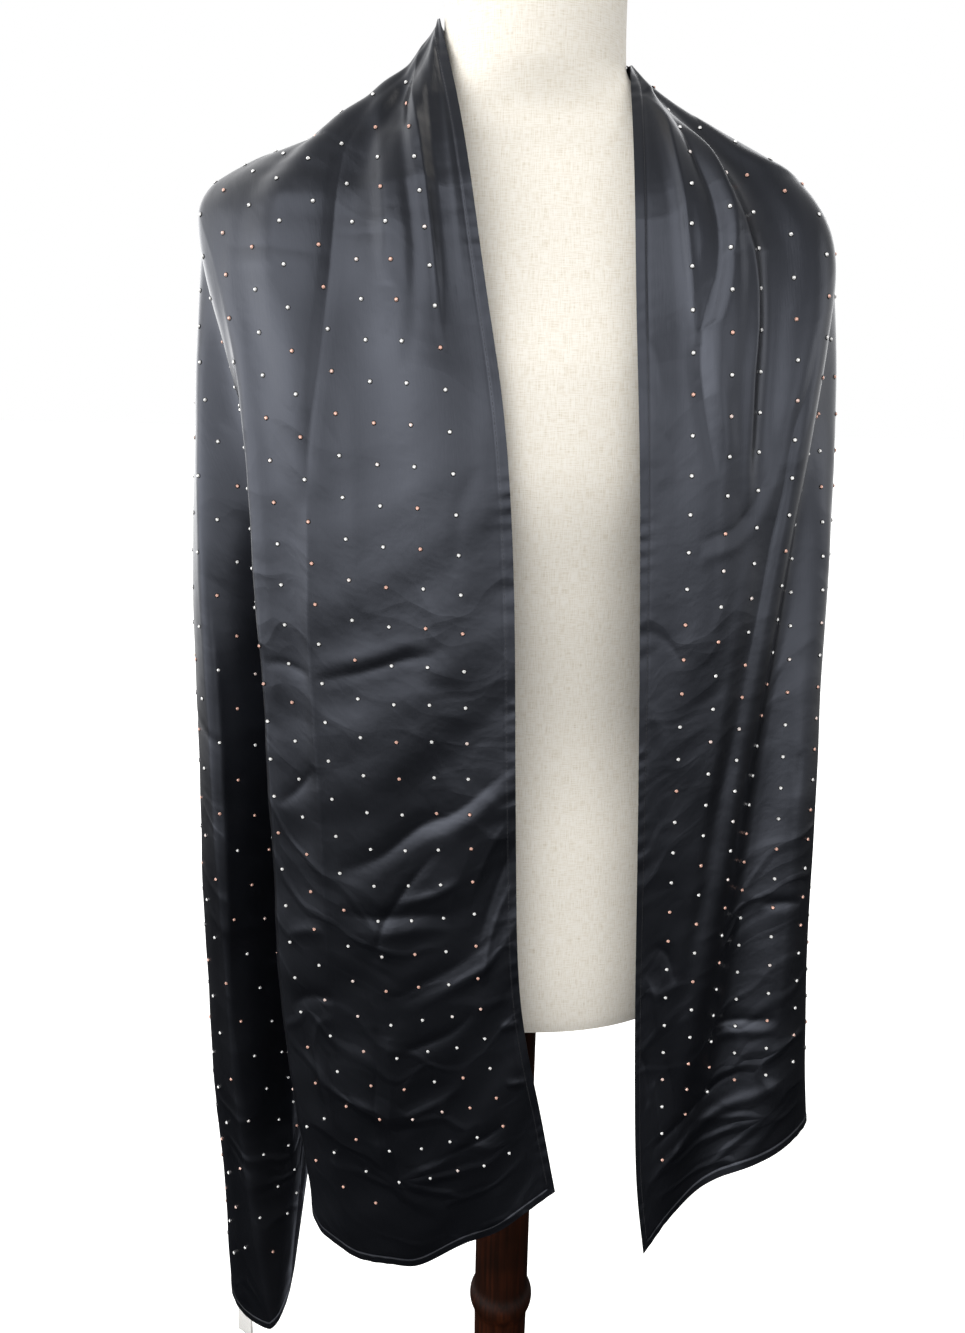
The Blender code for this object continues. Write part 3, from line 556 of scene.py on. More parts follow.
# Creases and soft troughs, measured on the cloth. Columns: zone; half width and height in
# millimetres, out (+) or in (-); then the places across and down, in millimetres.
# A crease no wider than PRESSED_WIDTH has a sharp crest, and all of them stand at CREASE_SHARE of
# their height, as satin falls flatter than other cloths
PRESSED_WIDTH = 4.0
CREASE_SHARE = 0.36
CREASES = [
    # Left front: the long pressed crease, a groove above and a ridge below
    ("left", 2.4, -3.4, [(66, 96), (84, 131), (100, 193), (113, 249), (126, 311), (131, 350)]),
    ("left", 12.0, 3.4, [(80, 90), (97, 131), (113, 193), (126, 249), (138, 311), (144, 370)]),
    ("left", 2.4, 3.2, [(128, 318), (133, 384), (137, 433), (139, 528), (142, 590), (152, 740)]),
    ("left", 9.0, -2.2, [(118, 330), (122, 384), (126, 433), (128, 528), (131, 590), (140, 730)]),
    # Left front: the ridge at the turn into the deep fold, and the one along the fall
    ("left", 2.6, 3.4, [(207, 206), (188, 231), (177, 285), (175, 347), (177, 450), (182, 558), (192, 676),
                        (211, 805), (243, 905)]),
    ("left", 11.0, 3.0, [(200, 200), (182, 240), (170, 300), (168, 347), (170, 450), (176, 558), (186, 676),
                         (204, 805), (236, 905)]),
    ("left", 2.8, 3.6, [(278, 380), (289, 412), (327, 512), (372, 618), (397, 683), (424, 763), (446, 860)]),
    ("left", 10.0, 3.0, [(290, 380), (303, 412), (341, 512), (386, 618), (411, 683), (438, 763), (460, 900)]),
    ("left", 14.0, 3.0, [(420, 640), (452, 760), (478, 900), (488, 1010)]),
    ("left", 8.0, -2.2, [(402, 700), (432, 800), (458, 900), (470, 1000)]),
    # Left front: gathers at the neck, and the cloth that stands up beside it
    ("left", 24.0, 14.0, [(62, 0), (84, 60), (104, 120)]),
    ("left", 3.0, 6.0, [(22, 14), (27, 60), (29, 110), (30, 170), (33, 232)]),
    ("left", 5.0, -5.0, [(30, 18), (38, 70), (41, 120), (42, 170), (48, 215), (58, 250)]),
    ("left", 4.0, -3.6, [(12, 18), (19, 80), (22, 130), (25, 185), (30, 240)]),
    ("left", 7.0, 6.0, [(44, 30), (54, 90), (58, 150), (62, 200)]),
    ("left", 3.0, 1.4, [(8, 30), (10, 90), (12, 150), (13, 190)]),
    # Left front: pressed lines and wrinkles across the panel
    ("left", 3.0, -1.5, [(99, 187), (140, 203), (179, 216)]),
    ("left", 5.0, 1.2, [(99, 194), (140, 210), (179, 223)]),
    ("left", 3.0, -1.2, [(46, 170), (70, 169), (94, 173)]),
    ("left", 2.4, -1.3, [(52, 204), (60, 214), (69, 228)]),
    ("left", 2.0, -1.5, [(139, 457), (158, 461), (176, 469)]),
    ("left", 2.4, -1.5, [(52, 426), (72, 429), (93, 436), (115, 447), (138, 462)]),
    ("left", 6.0, 1.5, [(50, 417), (72, 420), (93, 427), (115, 438), (134, 450)]),
    ("left", 4.0, -2.6, [(0, 511), (16, 519), (48, 539), (69, 547), (100, 568), (131, 588)]),
    ("left", 9.0, 1.7, [(0, 524), (16, 531), (48, 550), (69, 558), (100, 578), (126, 596)]),
    ("left", 4.0, -2.6, [(52, 616), (87, 613), (134, 618)]),
    ("left", 5.0, 1.2, [(56, 627), (87, 625), (128, 630)]),
    ("left", 3.2, 1.4, [(3, 548), (14, 562), (27, 584), (38, 610)]),
    ("left", 4.0, -2.0, [(1, 572), (10, 590), (20, 612), (30, 642)]),
    ("left", 3.4, 2.6, [(4, 606), (15, 626), (24, 652), (30, 680)]),
    ("left", 4.0, -1.5, [(0, 628), (13, 640), (45, 655), (81, 670), (118, 681)]),
    ("left", 5.0, 1.5, [(2, 650), (24, 664), (60, 676), (98, 690)]),
    ("left", 2.6, -2.2, [(60, 566), (82, 590), (104, 622), (112, 650)]),
    ("left", 2.4, 2.2, [(44, 590), (66, 600), (92, 604)]),
    ("left", 3.0, -2.3, [(140, 520), (158, 548), (174, 566)]),
    ("left", 3.0, 2.2, [(146, 640), (160, 648), (180, 664)]),
    ("left", 3.4, -2.8, [(146, 690), (166, 702), (186, 722)]),
    ("left", 2.6, 2.6, [(150, 706), (164, 722), (172, 750), (174, 790)]),
    ("left", 2.4, -2.6, [(160, 740), (166, 770), (172, 806), (182, 842)]),
    ("left", 2.6, -2.4, [(118, 700), (124, 740), (136, 786), (140, 830)]),
    ("left", 3.0, 2.6, [(110, 706), (116, 750), (128, 800), (130, 850)]),
    ("left", 3.0, -2.2, [(40, 700), (70, 716), (104, 722)]),
    ("left", 3.4, 2.4, [(60, 760), (88, 772), (120, 776), (150, 770)]),
    ("left", 3.0, -2.4, [(30, 806), (64, 812), (100, 822)]),
    ("left", 2.2, 2.4, [(3, 726), (12, 725), (20, 724)]),
    ("left", 2.2, 2.4, [(5, 780), (14, 777), (24, 773)]),
    ("left", 3.0, 1.4, [(4, 690), (8, 712), (10, 740), (9, 776), (6, 800)]),
    ("left", 5.0, -1.0, [(20, 300), (32, 330), (38, 372)]),
    ("left", 6.0, 1.0, [(8, 240), (14, 290), (16, 340)]),
    ("left", 7.0, 1.2, [(94, 260), (100, 320), (104, 400)]),
    # Left side and its back
    ("left", 5.0, -1.8, [(340, 300), (380, 350), (430, 380), (480, 390)]),
    ("left", 3.6, 4.0, [(480, 300), (486, 400), (492, 520), (500, 700)]),
    ("left", 8.0, -6.0, [(520, 340), (530, 460), (545, 600), (560, 760)]),
    ("left", 2.4, 1.4, [(560, 560), (590, 590), (640, 600), (690, 596)]),
    ("left", 4.0, -1.5, [(540, 800), (580, 830), (630, 820)]),
    ("left", 4.0, 4.0, [(610, 420), (616, 520), (628, 660)]),
    ("left", 3.0, -1.4, [(340, 560), (372, 548), (410, 556)]),
    ("left", 4.0, 1.4, [(470, 860), (500, 880), (548, 884)]),
    # Right front: the plain border folds back on itself beside a deep gather
    ("right", 3.6, 9.0, [(9, 34), (21, 65), (25, 91), (30, 126), (32, 154), (34, 180), (37, 214)]),
    ("right", 8.0, -18.0, [(16, 30), (33, 72), (40, 105), (48, 135), (51, 160), (48, 185), (43, 205)]),
    ("right", 3.0, -5.5, [(45, 180), (39, 200), (38, 220), (40, 242), (44, 266), (50, 296)]),
    ("right", 5.0, 2.4, [(56, 190), (50, 212), (50, 236), (54, 262), (60, 290)]),
    ("right", 4.0, 9.0, [(26, 34), (44, 84), (55, 121), (61, 148), (62, 172)]),
    ("right", 5.0, 7.0, [(62, 130), (70, 157), (76, 180), (75, 210), (72, 249), (73, 292), (75, 330)]),
    ("right", 1.8, 3.0, [(65, 140), (74, 172), (77, 200), (74, 240), (75, 290)]),
    ("right", 9.0, -6.0, [(84, 170), (90, 210), (88, 260), (88, 310)]),
    ("right", 3.0, -2.2, [(70, 60), (92, 96), (118, 118), (150, 132)]),
    ("right", 5.0, 3.4, [(60, 64), (82, 104), (110, 128), (142, 142)]),
    # Right front: the long slanting valley
    ("right", 9.0, -7.5, [(123, 226), (116, 255), (105, 285), (100, 318), (94, 350), (91, 377), (84, 433),
                          (77, 494), (70, 540), (66, 590), (58, 640), (52, 700)]),
    ("right", 2.6, -2.6, [(121, 234), (116, 255), (105, 282), (100, 318), (94, 350), (91, 377), (84, 433)]),
    ("right", 12.0, 6.5, [(144, 240), (134, 275), (122, 318), (113, 377), (104, 433), (96, 494), (88, 560),
                         (82, 640), (76, 710)]),
    ("right", 7.0, 2.0, [(96, 250), (86, 300), (80, 350), (72, 420), (64, 500), (56, 580)]),
    # Right front: wrinkles
    ("right", 3.4, -1.6, [(40, 332), (62, 336), (75, 326), (88, 304), (97, 284)]),
    ("right", 5.0, 1.4, [(42, 344), (64, 347), (80, 336), (96, 312)]),
    ("right", 4.0, -1.2, [(6, 250), (18, 262), (26, 286)]),
    ("right", 4.0, 1.2, [(4, 196), (12, 214), (16, 240)]),
    ("right", 3.0, -1.0, [(8, 380), (22, 392), (34, 412)]),
    ("right", 6.0, 1.4, [(10, 430), (22, 470), (24, 530)]),
    ("right", 3.4, 2.6, [(80, 668), (92, 658), (106, 643)]),
    ("right", 3.0, -2.4, [(121, 643), (136, 646), (152, 652)]),
    ("right", 4.0, -2.6, [(83, 731), (98, 737), (112, 740), (136, 744)]),
    ("right", 5.0, 1.5, [(80, 742), (98, 748), (118, 751), (140, 754)]),
    ("right", 3.0, -1.4, [(118, 560), (134, 546), (150, 528)]),
    ("right", 4.0, 1.4, [(112, 470), (132, 452), (152, 440)]),
    ("right", 3.0, -2.4, [(20, 620), (34, 636), (42, 664)]),
    ("right", 3.4, 2.4, [(10, 640), (22, 664), (28, 700)]),
    ("right", 3.0, -2.6, [(4, 700), (14, 722), (18, 756)]),
    ("right", 6.0, 2.6, [(12, 828), (46, 822), (84, 816), (142, 806)]),
    ("right", 4.0, -2.6, [(20, 800), (60, 796), (110, 786)]),
    ("right", 2.6, 2.6, [(24, 740), (30, 780), (34, 830)]),
    ("right", 2.6, -2.6, [(38, 730), (46, 770), (50, 820)]),
    ("right", 7.0, -2.0, [(160, 300), (172, 380), (176, 480), (174, 600), (168, 720)]),
    # Right side and its back
    ("right", 4.0, 4.0, [(210, 240), (214, 330), (216, 440), (222, 560)]),
    ("right", 8.0, -6.0, [(246, 300), (252, 420), (262, 560), (270, 700)]),
    ("right", 3.0, -1.5, [(190, 520), (220, 500), (262, 496)]),
    ("right", 3.0, 1.4, [(200, 700), (236, 712), (280, 706)]),
    ("right", 3.4, -1.6, [(290, 360), (318, 372), (352, 370)]),
    ("right", 4.0, 4.0, [(318, 420), (324, 540), (334, 700)]),
    # Back: folds that run down from the neck, and pressed lines across
    ("back", 3.0, 4.5, [(-22, 20), (-26, 120), (-34, 260), (-44, 420), (-50, 600)]),
    ("back", 8.0, -6.0, [(12, 30), (18, 140), (26, 300), (34, 460), (36, 620)]),
    ("back", 3.6, 4.2, [(48, 80), (66, 200), (84, 340), (96, 500)]),
    ("back", 7.0, -5.0, [(-60, 70), (-84, 190), (-104, 330), (-116, 500)]),
    ("back", 2.2, -1.5, [(-120, 330), (-60, 322), (0, 326), (60, 318)]),
    ("back", 5.0, 1.3, [(-116, 341), (-60, 333), (0, 337), (56, 329)]),
    ("back", 3.0, -1.3, [(30, 470), (70, 452), (120, 446)]),
    ("back", 3.6, 1.4, [(-130, 560), (-90, 546), (-40, 552)]),
    ("back", 3.0, -1.4, [(-100, 180), (-66, 170), (-30, 176)]),
    ("back", 4.0, 1.5, [(40, 190), (84, 200), (122, 226)]),
    ("back", 2.4, 1.2, [(-8, 430), (22, 446), (60, 440)]),
    ("back", 3.0, -1.2, [(60, 600), (100, 584), (140, 590)]),
]
# Slow unevenness of the whole cloth. Columns: wavelength across and down, start, all in
# millimetres, and height in millimetres
UNEVEN = [(170, 420, 20, 0.5), (-120, 260, 75, 0.35), (84, -190, 130, 0.2), (61, 120, 10, 0.12), (-47, 75, 55, 0.06)]


def crease_height(crease, across, down):
    """Height of one crease over the cloth, fading towards its ends."""
    name, width, height, places = crease
    path = np.array(sorted(places, key=lambda place: place[0]), float) / 1000
    here, over = across, down
    if np.ptp(path[:, 1]) > np.ptp(path[:, 0]):
        path = np.array(places, float)[:, ::-1] / 1000
        here, over = down, across
    step = 1e-3
    middle = smooth_through(path[:, 0], path[:, 1], here)
    slope = (smooth_through(path[:, 0], path[:, 1], here + step) - middle) / step
    aside = (over - middle) / np.sqrt(1 + slope ** 2)
    share = (here - path[0, 0]) / (path[-1, 0] - path[0, 0])
    fade = np.sin(math.pi * np.clip(share, 0, 1)) ** 0.6
    away = np.abs(aside) / (width / 1000)
    if width <= PRESSED_WIDTH:
        return CREASE_SHARE * height / 1000 * fade * np.exp(0.3 - np.sqrt(away ** 2 + 0.09)) * np.clip(3 - away, 0, 1)
    return CREASE_SHARE * height / 1000 * fade * np.exp(-away ** 2)


creased = np.zeros_like(across)
for wave_across, wave_down, start, height in UNEVEN:
    phase = (across_all * 1000 / wave_across + (down * 1000 + start) / wave_down) * 2 * math.pi
    creased += height / 1000 * np.sin(phase)
creased *= np.clip(down / 0.35, 0, 1)
for number, (name, _, _, _) in enumerate(ZONES):
    pick = zone_of == number
    for crease in CREASES:
        if crease[0] == name:
            creased[:, pick] += crease_height(crease, across[:, pick], down[:, pick])

# Turned hem: folded twice, 7 mm wide and stitched at its inner side, so it stands a little
# proud, is pinched in at the stitches and puckers between them
HEM_WIDTH = 0.0070
HEM_RAISE = 0.00030
STITCH_PINCH = 0.00015
PUCKER_STEP = 0.013
PUCKER_HEIGHT = 0.00018
gap = np.minimum(edge_gap, hem_gap)
along = np.where(edge_gap < hem_gap, down, across)
raised = HEM_RAISE * np.clip((HEM_WIDTH - gap) / 0.0012, 0, 1)
pinched = -STITCH_PINCH * np.exp(-((gap - HEM_WIDTH) / 0.0010) ** 2)
uneven = np.clip(0.35 + np.sin(along * 23 + 1.3) * np.sin(along * 61 + 0.4), 0, 1)
pucker = (PUCKER_HEIGHT * uneven * np.sin(2 * math.pi * along / PUCKER_STEP + 3.4 * np.sin(along * 39))
          * np.exp(-(gap / 0.009) ** 2))
creased += (raised + pinched + pucker) * np.clip(down / 0.02, 0, 1)

outer = clear_of_form(drape + normals(drape) * creased[..., None], CLOTH_CLEARANCE + SATIN_WALL)
facing = normals(outer)
lowest = np.pad(creased, 2, mode="edge")
lowest = np.min([lowest[i:i + len(levels), j:j + len(stations)] for i in range(5) for j in range(5)], axis=0)
inner = clear_of_form(drape + normals(drape) * (lowest - SATIN_WALL)[..., None], CLOTH_CLEARANCE)
lift = np.array([0, 0, TABLE_LIFT])
outer, inner = outer + lift, inner + lift


SATIN_DARK = "#0b0c0f"
SATIN_GLOSS = "#d5dbec"
SATIN_SHEEN = "#9aa3b8"
# Relief of the cloth, in turns to a metre. The floats are drawn 1.1 by 17 mm where the finest
# are a third of that, so that they show. Then come the creased facets, 67 by 42 mm, which leave
# off in smooth patches and bend a little, and the crinkle, about 24 mm from crest to crest
FLOAT_TURNS = (900, 60, 1)
FACET_TURNS = (15, 24, 1)
BEND_TURNS = 9.0
BEND_REACH = 0.12
PATCH_TURNS = 7.0
CRINKLE_TURNS = 42.0
# How deep each is, and how far down the cloth the sharp lines begin and are full, in metres
FLOAT_DEPTH = 0.0004
FACET_DEPTH = 0.003
LINE_DEPTH = 0.0012
CRINKLE_DEPTH = 0.0012
LINES_FROM = 0.42
LINES_FULL = 0.74


def build_satin():
    """Black polyester satin: long floats on the face give a soft, slightly streaky gloss, and
    sharp pressed lines cross its lower half."""
    material, tree, shader = finish_of("black_polyester_satin", 0.31, Anisotropic=0.30, Sheen_Weight=0.02,
                                       Sheen_Roughness=0.35, Specular_IOR_Level=0.85)
    shader.inputs["Sheen Tint"].default_value = linear(SATIN_SHEEN)
    shader.inputs["Base Color"].default_value = linear(SATIN_DARK)
    shader.inputs["Specular Tint"].default_value = linear(SATIN_GLOSS)
    place = add_node(tree, "ShaderNodeUVMap", uv_map="cloth").outputs["UV"]
    floats_place = add_node(tree, "ShaderNodeMapping", {"Vector": place, "Scale": FLOAT_TURNS})
    floats = add_node(tree, "ShaderNodeTexNoise", {"Vector": floats_place.outputs["Vector"], "Scale": 1.0,
                                                   "Detail": 2.0})
    bent = add_node(tree, "ShaderNodeTexNoise", {"Vector": place, "Scale": BEND_TURNS, "Detail": 2.0})
    shift = add_node(tree, "ShaderNodeVectorMath", {0: bent.outputs["Color"], 1: (BEND_REACH, BEND_REACH, 0)},
                     operation="MULTIPLY")
    bent_place = add_node(tree, "ShaderNodeVectorMath", {0: place, 1: shift.outputs["Vector"]}, operation="ADD")
    facet_place = add_node(tree, "ShaderNodeMapping", {"Vector": bent_place.outputs["Vector"],
                                                       "Rotation": (0, 0, 0.5), "Scale": FACET_TURNS})
    facets = add_node(tree, "ShaderNodeTexVoronoi", {"Vector": facet_place.outputs["Vector"], "Scale": 1.0,
                                                     "Detail": 1.0, "Roughness": 0.45})
    where = add_node(tree, "ShaderNodeTexNoise", {"Vector": place, "Scale": PATCH_TURNS, "Detail": 1.0})
    patchy = add_node(tree, "ShaderNodeMapRange", {"Value": where.outputs["Fac"], "From Min": 0.42, "From Max": 0.68,
                                                   "To Min": 0.15, "To Max": 1.0})
    crumple = add_node(tree, "ShaderNodeMath", {0: facets.outputs["Distance"], 1: patchy.outputs["Result"]},
                       operation="MULTIPLY")
    edges = add_node(tree, "ShaderNodeTexVoronoi", {"Vector": facet_place.outputs["Vector"], "Scale": 1.0},
                     feature="DISTANCE_TO_EDGE")
    line = add_node(tree, "ShaderNodeMapRange", {"Value": edges.outputs["Distance"], "From Min": 0.0,
                                                 "From Max": 0.13, "To Min": 1.0, "To Max": 0.0},
                    interpolation_type="SMOOTHSTEP")
    parts = add_node(tree, "ShaderNodeSeparateXYZ", {"Vector": place})
    lower = add_node(tree, "ShaderNodeMapRange", {"Value": parts.outputs["Y"], "From Min": LINES_FROM,
                                                  "From Max": LINES_FULL, "To Min": 0.12, "To Max": 1.0})
    patches = add_node(tree, "ShaderNodeMath", {0: lower.outputs["Result"], 1: patchy.outputs["Result"]},
                       operation="MULTIPLY")
    lines = add_node(tree, "ShaderNodeMath", {0: line.outputs["Result"], 1: patches.outputs["Value"]},
                     operation="MULTIPLY")
    crinkle = add_node(tree, "ShaderNodeTexNoise", {"Vector": place, "Scale": CRINKLE_TURNS, "Detail": 3.0,
                                                    "Roughness": 0.5, "Distortion": 0.15})
    reliefs = [(crumple.outputs["Value"], 0.4, FACET_DEPTH), (lines.outputs["Value"], 0.34, LINE_DEPTH),
               (crinkle.outputs["Fac"], 0.3, CRINKLE_DEPTH), (floats.outputs["Fac"], 0.12, FLOAT_DEPTH)]
    under = {}
    for height, strength, depth in reliefs:
        relief = add_node(tree, "ShaderNodeBump", {"Height": height, "Strength": strength,
                                                   "Distance": depth, **under})
        under = {"Normal": relief.outputs["Normal"]}
    tree.links.new(relief.outputs["Normal"], shader.inputs["Normal"])
    tangent = add_node(tree, "ShaderNodeTangent", direction_type="UV_MAP", uv_map="cloth")
    tree.links.new(tangent.outputs["Tangent"], shader.inputs["Tangent"])
    return material


satin = build_satin()


def border_of(rows, columns):
    """Point numbers once round the edge of a grid."""
    index = np.arange(rows * columns).reshape(rows, columns)
    return np.concatenate([index[0], index[1:, -1], index[-1, -2::-1], index[-2:0:-1, 0]])


def walled(outer, inner):
    """Points and faces of a closed sheet; its inner grid has half the rows and columns of the outer one."""
    shift = outer.shape[0] * outer.shape[1]
    near, far = border_of(*outer.shape[:2]), border_of(*inner.shape[:2]) + shift
    faces = grid_faces(*outer.shape[:2]).tolist() + (grid_faces(*inner.shape[:2])[:, ::-1] + shift).tolist()
    for k in range(len(far)):
        n = (k + 1) % len(far)
        faces.append([int(v) for v in (near[2 * k], near[2 * k + 1], near[2 * n], far[n], far[k])])
    return np.concatenate([outer.reshape(-1, 3), inner.reshape(-1, 3)]), faces


# Columns: piece, the solid that it stands for, first station, last station, width and length of its cut
STRETCHES = [
    ("shawl_front_right", "shawl_right_front", 0.0, 1.0, 0.20, 0.86),
    ("shawl_shoulders_and_back", "shawl_back", 1.0, 3.0, 0.60, 0.86),
    ("shawl_fall_left", "shawl_left_fall", 3.0, 3.36, 0.16, 1.02),
    ("shawl_front_left", "shawl_left_front", 3.36, 4.0, 0.20, 0.88),
]
for name, node, first, last, width, length in STRETCHES:
    pick = columns_within(first, last)
    points, faces = walled(outer[:, pick], inner[::2, pick][:, ::2])
    flat_place = np.stack([across[:, pick], down[:, pick]], -1)
    out = facing[:, pick]
    piece = mesh_piece(name, points, faces, satin,
                       np.concatenate([flat_place.reshape(-1, 2), flat_place[::2, ::2].reshape(-1, 2)]),
                       np.concatenate([out.reshape(-1, 3), -out[::2, ::2].reshape(-1, 3)]))
    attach(piece, "root")
    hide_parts(node)


# Stones: small round glass stones with a foiled back, glued face up in a square grid.
# Most are clear and some are rose; each stone's rim is painted dark, as shade round its edge.
STONE_PITCH = 0.024
STONE_RADIUS = 0.00120
STONE_HEIGHT = 0.0011
STONE_SIDES = 8
EDGE_BORDER = 0.034
HEM_BORDER = 0.058
STONE_SPACE = 0.0155
STONE_CLEAR = "#f3f2f0"
STONE_ROSE = "#e9b8a6"
# Painted shade: the dark colour put on every stone's rim
STONE_RIM_SHADE = "#08080a"


def stone_places():
    """Points and normals for every stone of the grid."""
    places = []
    for number in range(len(ZONES)):
        pick = np.flatnonzero(zone_of == number)
        a, d = across[:, pick] / STONE_PITCH, row_down[:, pick] / STONE_PITCH
        a = a - EDGE_BORDER / STONE_PITCH if number != 1 else a
        corners = [(slice(None, -1), slice(None, -1)), (slice(1, None), slice(None, -1)),
                   (slice(1, None), slice(1, None)), (slice(None, -1), slice(1, None))]
        aa, dd = np.stack([a[c] for c in corners], -1), np.stack([d[c] for c in corners], -1)
        hit = (np.floor(aa.max(-1)) >= np.ceil(aa.min(-1))) & (np.floor(dd.max(-1)) >= np.ceil(dd.min(-1)))
        for i, j in np.argwhere(hit):
            target = (np.floor(aa[i, j].max()), np.floor(dd[i, j].max()))
            for three in ((0, 1, 2), (0, 2, 3)):
                m = np.array([aa[i, j, list(three)], dd[i, j, list(three)], [1, 1, 1]])
                if abs(np.linalg.det(m)) < 1e-12:
                    continue
                share = np.linalg.solve(m, [*target, 1])
                if share.min() < -1e-6:
                    continue
                rows = [i + (k in (1, 2)) for k in three]
                columns = [pick[j] + (k in (2, 3)) for k in three]
                spot = share @ outer[rows, columns]
                from_edge, from_hem = share @ edge_gap[rows, columns], share @ hem_gap[rows, columns]
                if from_edge > EDGE_BORDER * 0.9 and from_hem > HEM_BORDER:
                    places.append((*spot, *(share @ facing[rows, columns])))
                break
    kept = []
    for row in places:
        if all(math.dist(row[:3], other[:3]) > STONE_SPACE for other in kept[-400:]):
            kept.append(row)
    return np.array(kept)


def stone_shape(material):
    """One stone: a rim painted dark as shade round its edge, a sloped crown and a flat table."""
    turn = 2 * math.pi * np.arange(STONE_SIDES) / STONE_SIDES
    profile = [(1.42, 0.00), (1.32, 0.26), (1.00, 0.34), (0.58, 1.0)]
    points, faces = capped([[(r * math.cos(t), r * math.sin(t), h) for t in turn] for r, h in profile],
                           (0, 0, 0), (0, 0, 1))
    mesh = bpy.data.meshes.new("one_stone")
    mesh.from_pydata(points.tolist(), [], faces)
    rim = mesh.attributes.new("rim", "FLOAT", "FACE")
    # The rim faces and the underside are marked to take the painted shade colour
    rim.data.foreach_set("value", [float(max(f) < 3 * STONE_SIDES or len(points) - 2 in f) for f in faces])
    mesh.materials.append(material)
    return bpy.data.objects.new("one_stone", mesh)


def build_stone_finish():
    """Foiled glass: bright from nearly every side, with its rim painted dark as the shade round the stone's edge."""
    material, tree, shader = finish_of("foiled_glass_stone", 0.16, Metallic=0.25)
    rim = add_node(tree, "ShaderNodeAttribute", attribute_name="rim", attribute_type="GEOMETRY")
    tint = add_node(tree, "ShaderNodeAttribute", attribute_name="tint", attribute_type="GEOMETRY")
    glass = add_node(tree, "ShaderNodeValToRGB", {"Fac": tint.outputs["Fac"]}, stops=[
        (0.60, STONE_CLEAR), (0.72, STONE_ROSE), (1.0, STONE_ROSE)])
    # The marked rim faces get the painted shade; the rest gets the glass colour
    colour = add_node(tree, "ShaderNodeMix", {"Factor": rim.outputs["Fac"], 6: glass.outputs["Color"],
                                              7: linear(STONE_RIM_SHADE)}, data_type="RGBA")
    tree.links.new(colour.outputs[2], shader.inputs["Base Color"])
    return material


stone_finish = build_stone_finish()
spots = stone_places()


def shapes_on_points():
    """A tree that puts one small shape on every point, lying along "along" and facing "facing"."""
    nodes = bpy.data.node_groups.new("shapes_on_points", "GeometryNodeTree")
    nodes.interface.new_socket(name="Geometry", in_out="INPUT", socket_type="NodeSocketGeometry")
    inputs = [nodes.interface.new_socket(name=label, in_out="INPUT", socket_type="NodeSocket" + kind)
              for label, kind in (("Shape", "Object"), ("Size", "Vector"), ("Finish", "Material"))]
    nodes.interface.new_socket(name="Geometry", in_out="OUTPUT", socket_type="NodeSocketGeometry")
    given = add_node(nodes, "NodeGroupInput").outputs
    info = add_node(nodes, "GeometryNodeObjectInfo", {"Object": given["Shape"]})
    facing_way = add_node(nodes, "GeometryNodeInputNamedAttribute", {"Name": "facing"}, data_type="FLOAT_VECTOR")
    along_way = add_node(nodes, "GeometryNodeInputNamedAttribute", {"Name": "along"}, data_type="FLOAT_VECTOR")
    turn_to = add_node(nodes, "FunctionNodeAxesToRotation",
                       {"Primary Axis": facing_way.outputs["Attribute"],
                        "Secondary Axis": along_way.outputs["Attribute"]},
                       primary_axis="Z", secondary_axis="X")
    placed = add_node(nodes, "GeometryNodeInstanceOnPoints",
                      {"Points": given["Geometry"], "Instance": info.outputs["Geometry"],
                       "Rotation": turn_to.outputs["Rotation"], "Scale": given["Size"]})
    real = add_node(nodes, "GeometryNodeRealizeInstances", {"Geometry": placed.outputs["Instances"]})
    painted = add_node(nodes, "GeometryNodeSetMaterial", {"Geometry": real.outputs["Geometry"],
                                                          "Material": given["Finish"]})
    add_node(nodes, "NodeGroupOutput", {"Geometry": painted.outputs["Geometry"]})
    return nodes, inputs


def realized(piece, group, values):
    """Runs a tree on a piece and keeps the result as its plain mesh."""
    modifier = piece.modifiers.new("build", "NODES")
    modifier.node_group = group
    for socket, value in values:
        modifier[socket.identifier] = value
    graph = bpy.context.evaluated_depsgraph_get()
    made = bpy.data.meshes.new_from_object(piece.evaluated_get(graph))
    piece.modifiers.remove(modifier)
    piece.data = made
    made.name = piece.name


def place_shapes(name, spots, along, tint, shape, size, finish):
    """Joined copies of a shape on spots, given as rows of place and normal."""
    seed_mesh = bpy.data.meshes.new(name)
    seed_mesh.from_pydata(spots[:, :3].tolist(), [], [])
    seed_mesh.attributes.new("facing", "FLOAT_VECTOR", "POINT").data.foreach_set("vector", spots[:, 3:].ravel())
    seed_mesh.attributes.new("along", "FLOAT_VECTOR", "POINT").data.foreach_set("vector", along.ravel())
    seed_mesh.attributes.new("tint", "FLOAT", "POINT").data.foreach_set("value", tint)
    piece = bpy.data.objects.new(name, seed_mesh)
    bpy.context.scene.collection.objects.link(piece)
    tree, inputs = shapes_on_points()
    realized(piece, tree, zip(inputs, (shape, size, finish)))
    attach(piece, "root")
    return piece


rng = np.random.default_rng(7)
place_shapes("shawl_stones", spots, np.cross(spots[:, 3:], (0, 0, 1)), rng.random(len(spots)),
             stone_shape(stone_finish), (STONE_RADIUS, STONE_RADIUS, STONE_HEIGHT), stone_finish)


# Hem stitching: one row of black lockstitch along both front edges and round the hem, sewn
# by machine through the turned edge
SEAM_INSET = 0.0062
STITCH_PITCH = 0.0029
STITCH_LENGTH = 0.0023
STITCH_RADIUS = 0.00017
STITCH_SIDES = 5
THREAD_BLACK = "#1c1d22"


def seam_line(run, face, out, pick):
    """Places and normals where the run across a row reaches the seam, for the picked rows."""
    rows = np.flatnonzero(pick)
    j = (run[rows] < SEAM_INSET).sum(axis=1)
    low, high = run[rows, j - 1], run[rows, j]
    share = ((SEAM_INSET - low) / (high - low))[:, None]
    return [grid[rows, j - 1] * (1 - share) + grid[rows, j] * share for grid in (face, out)]


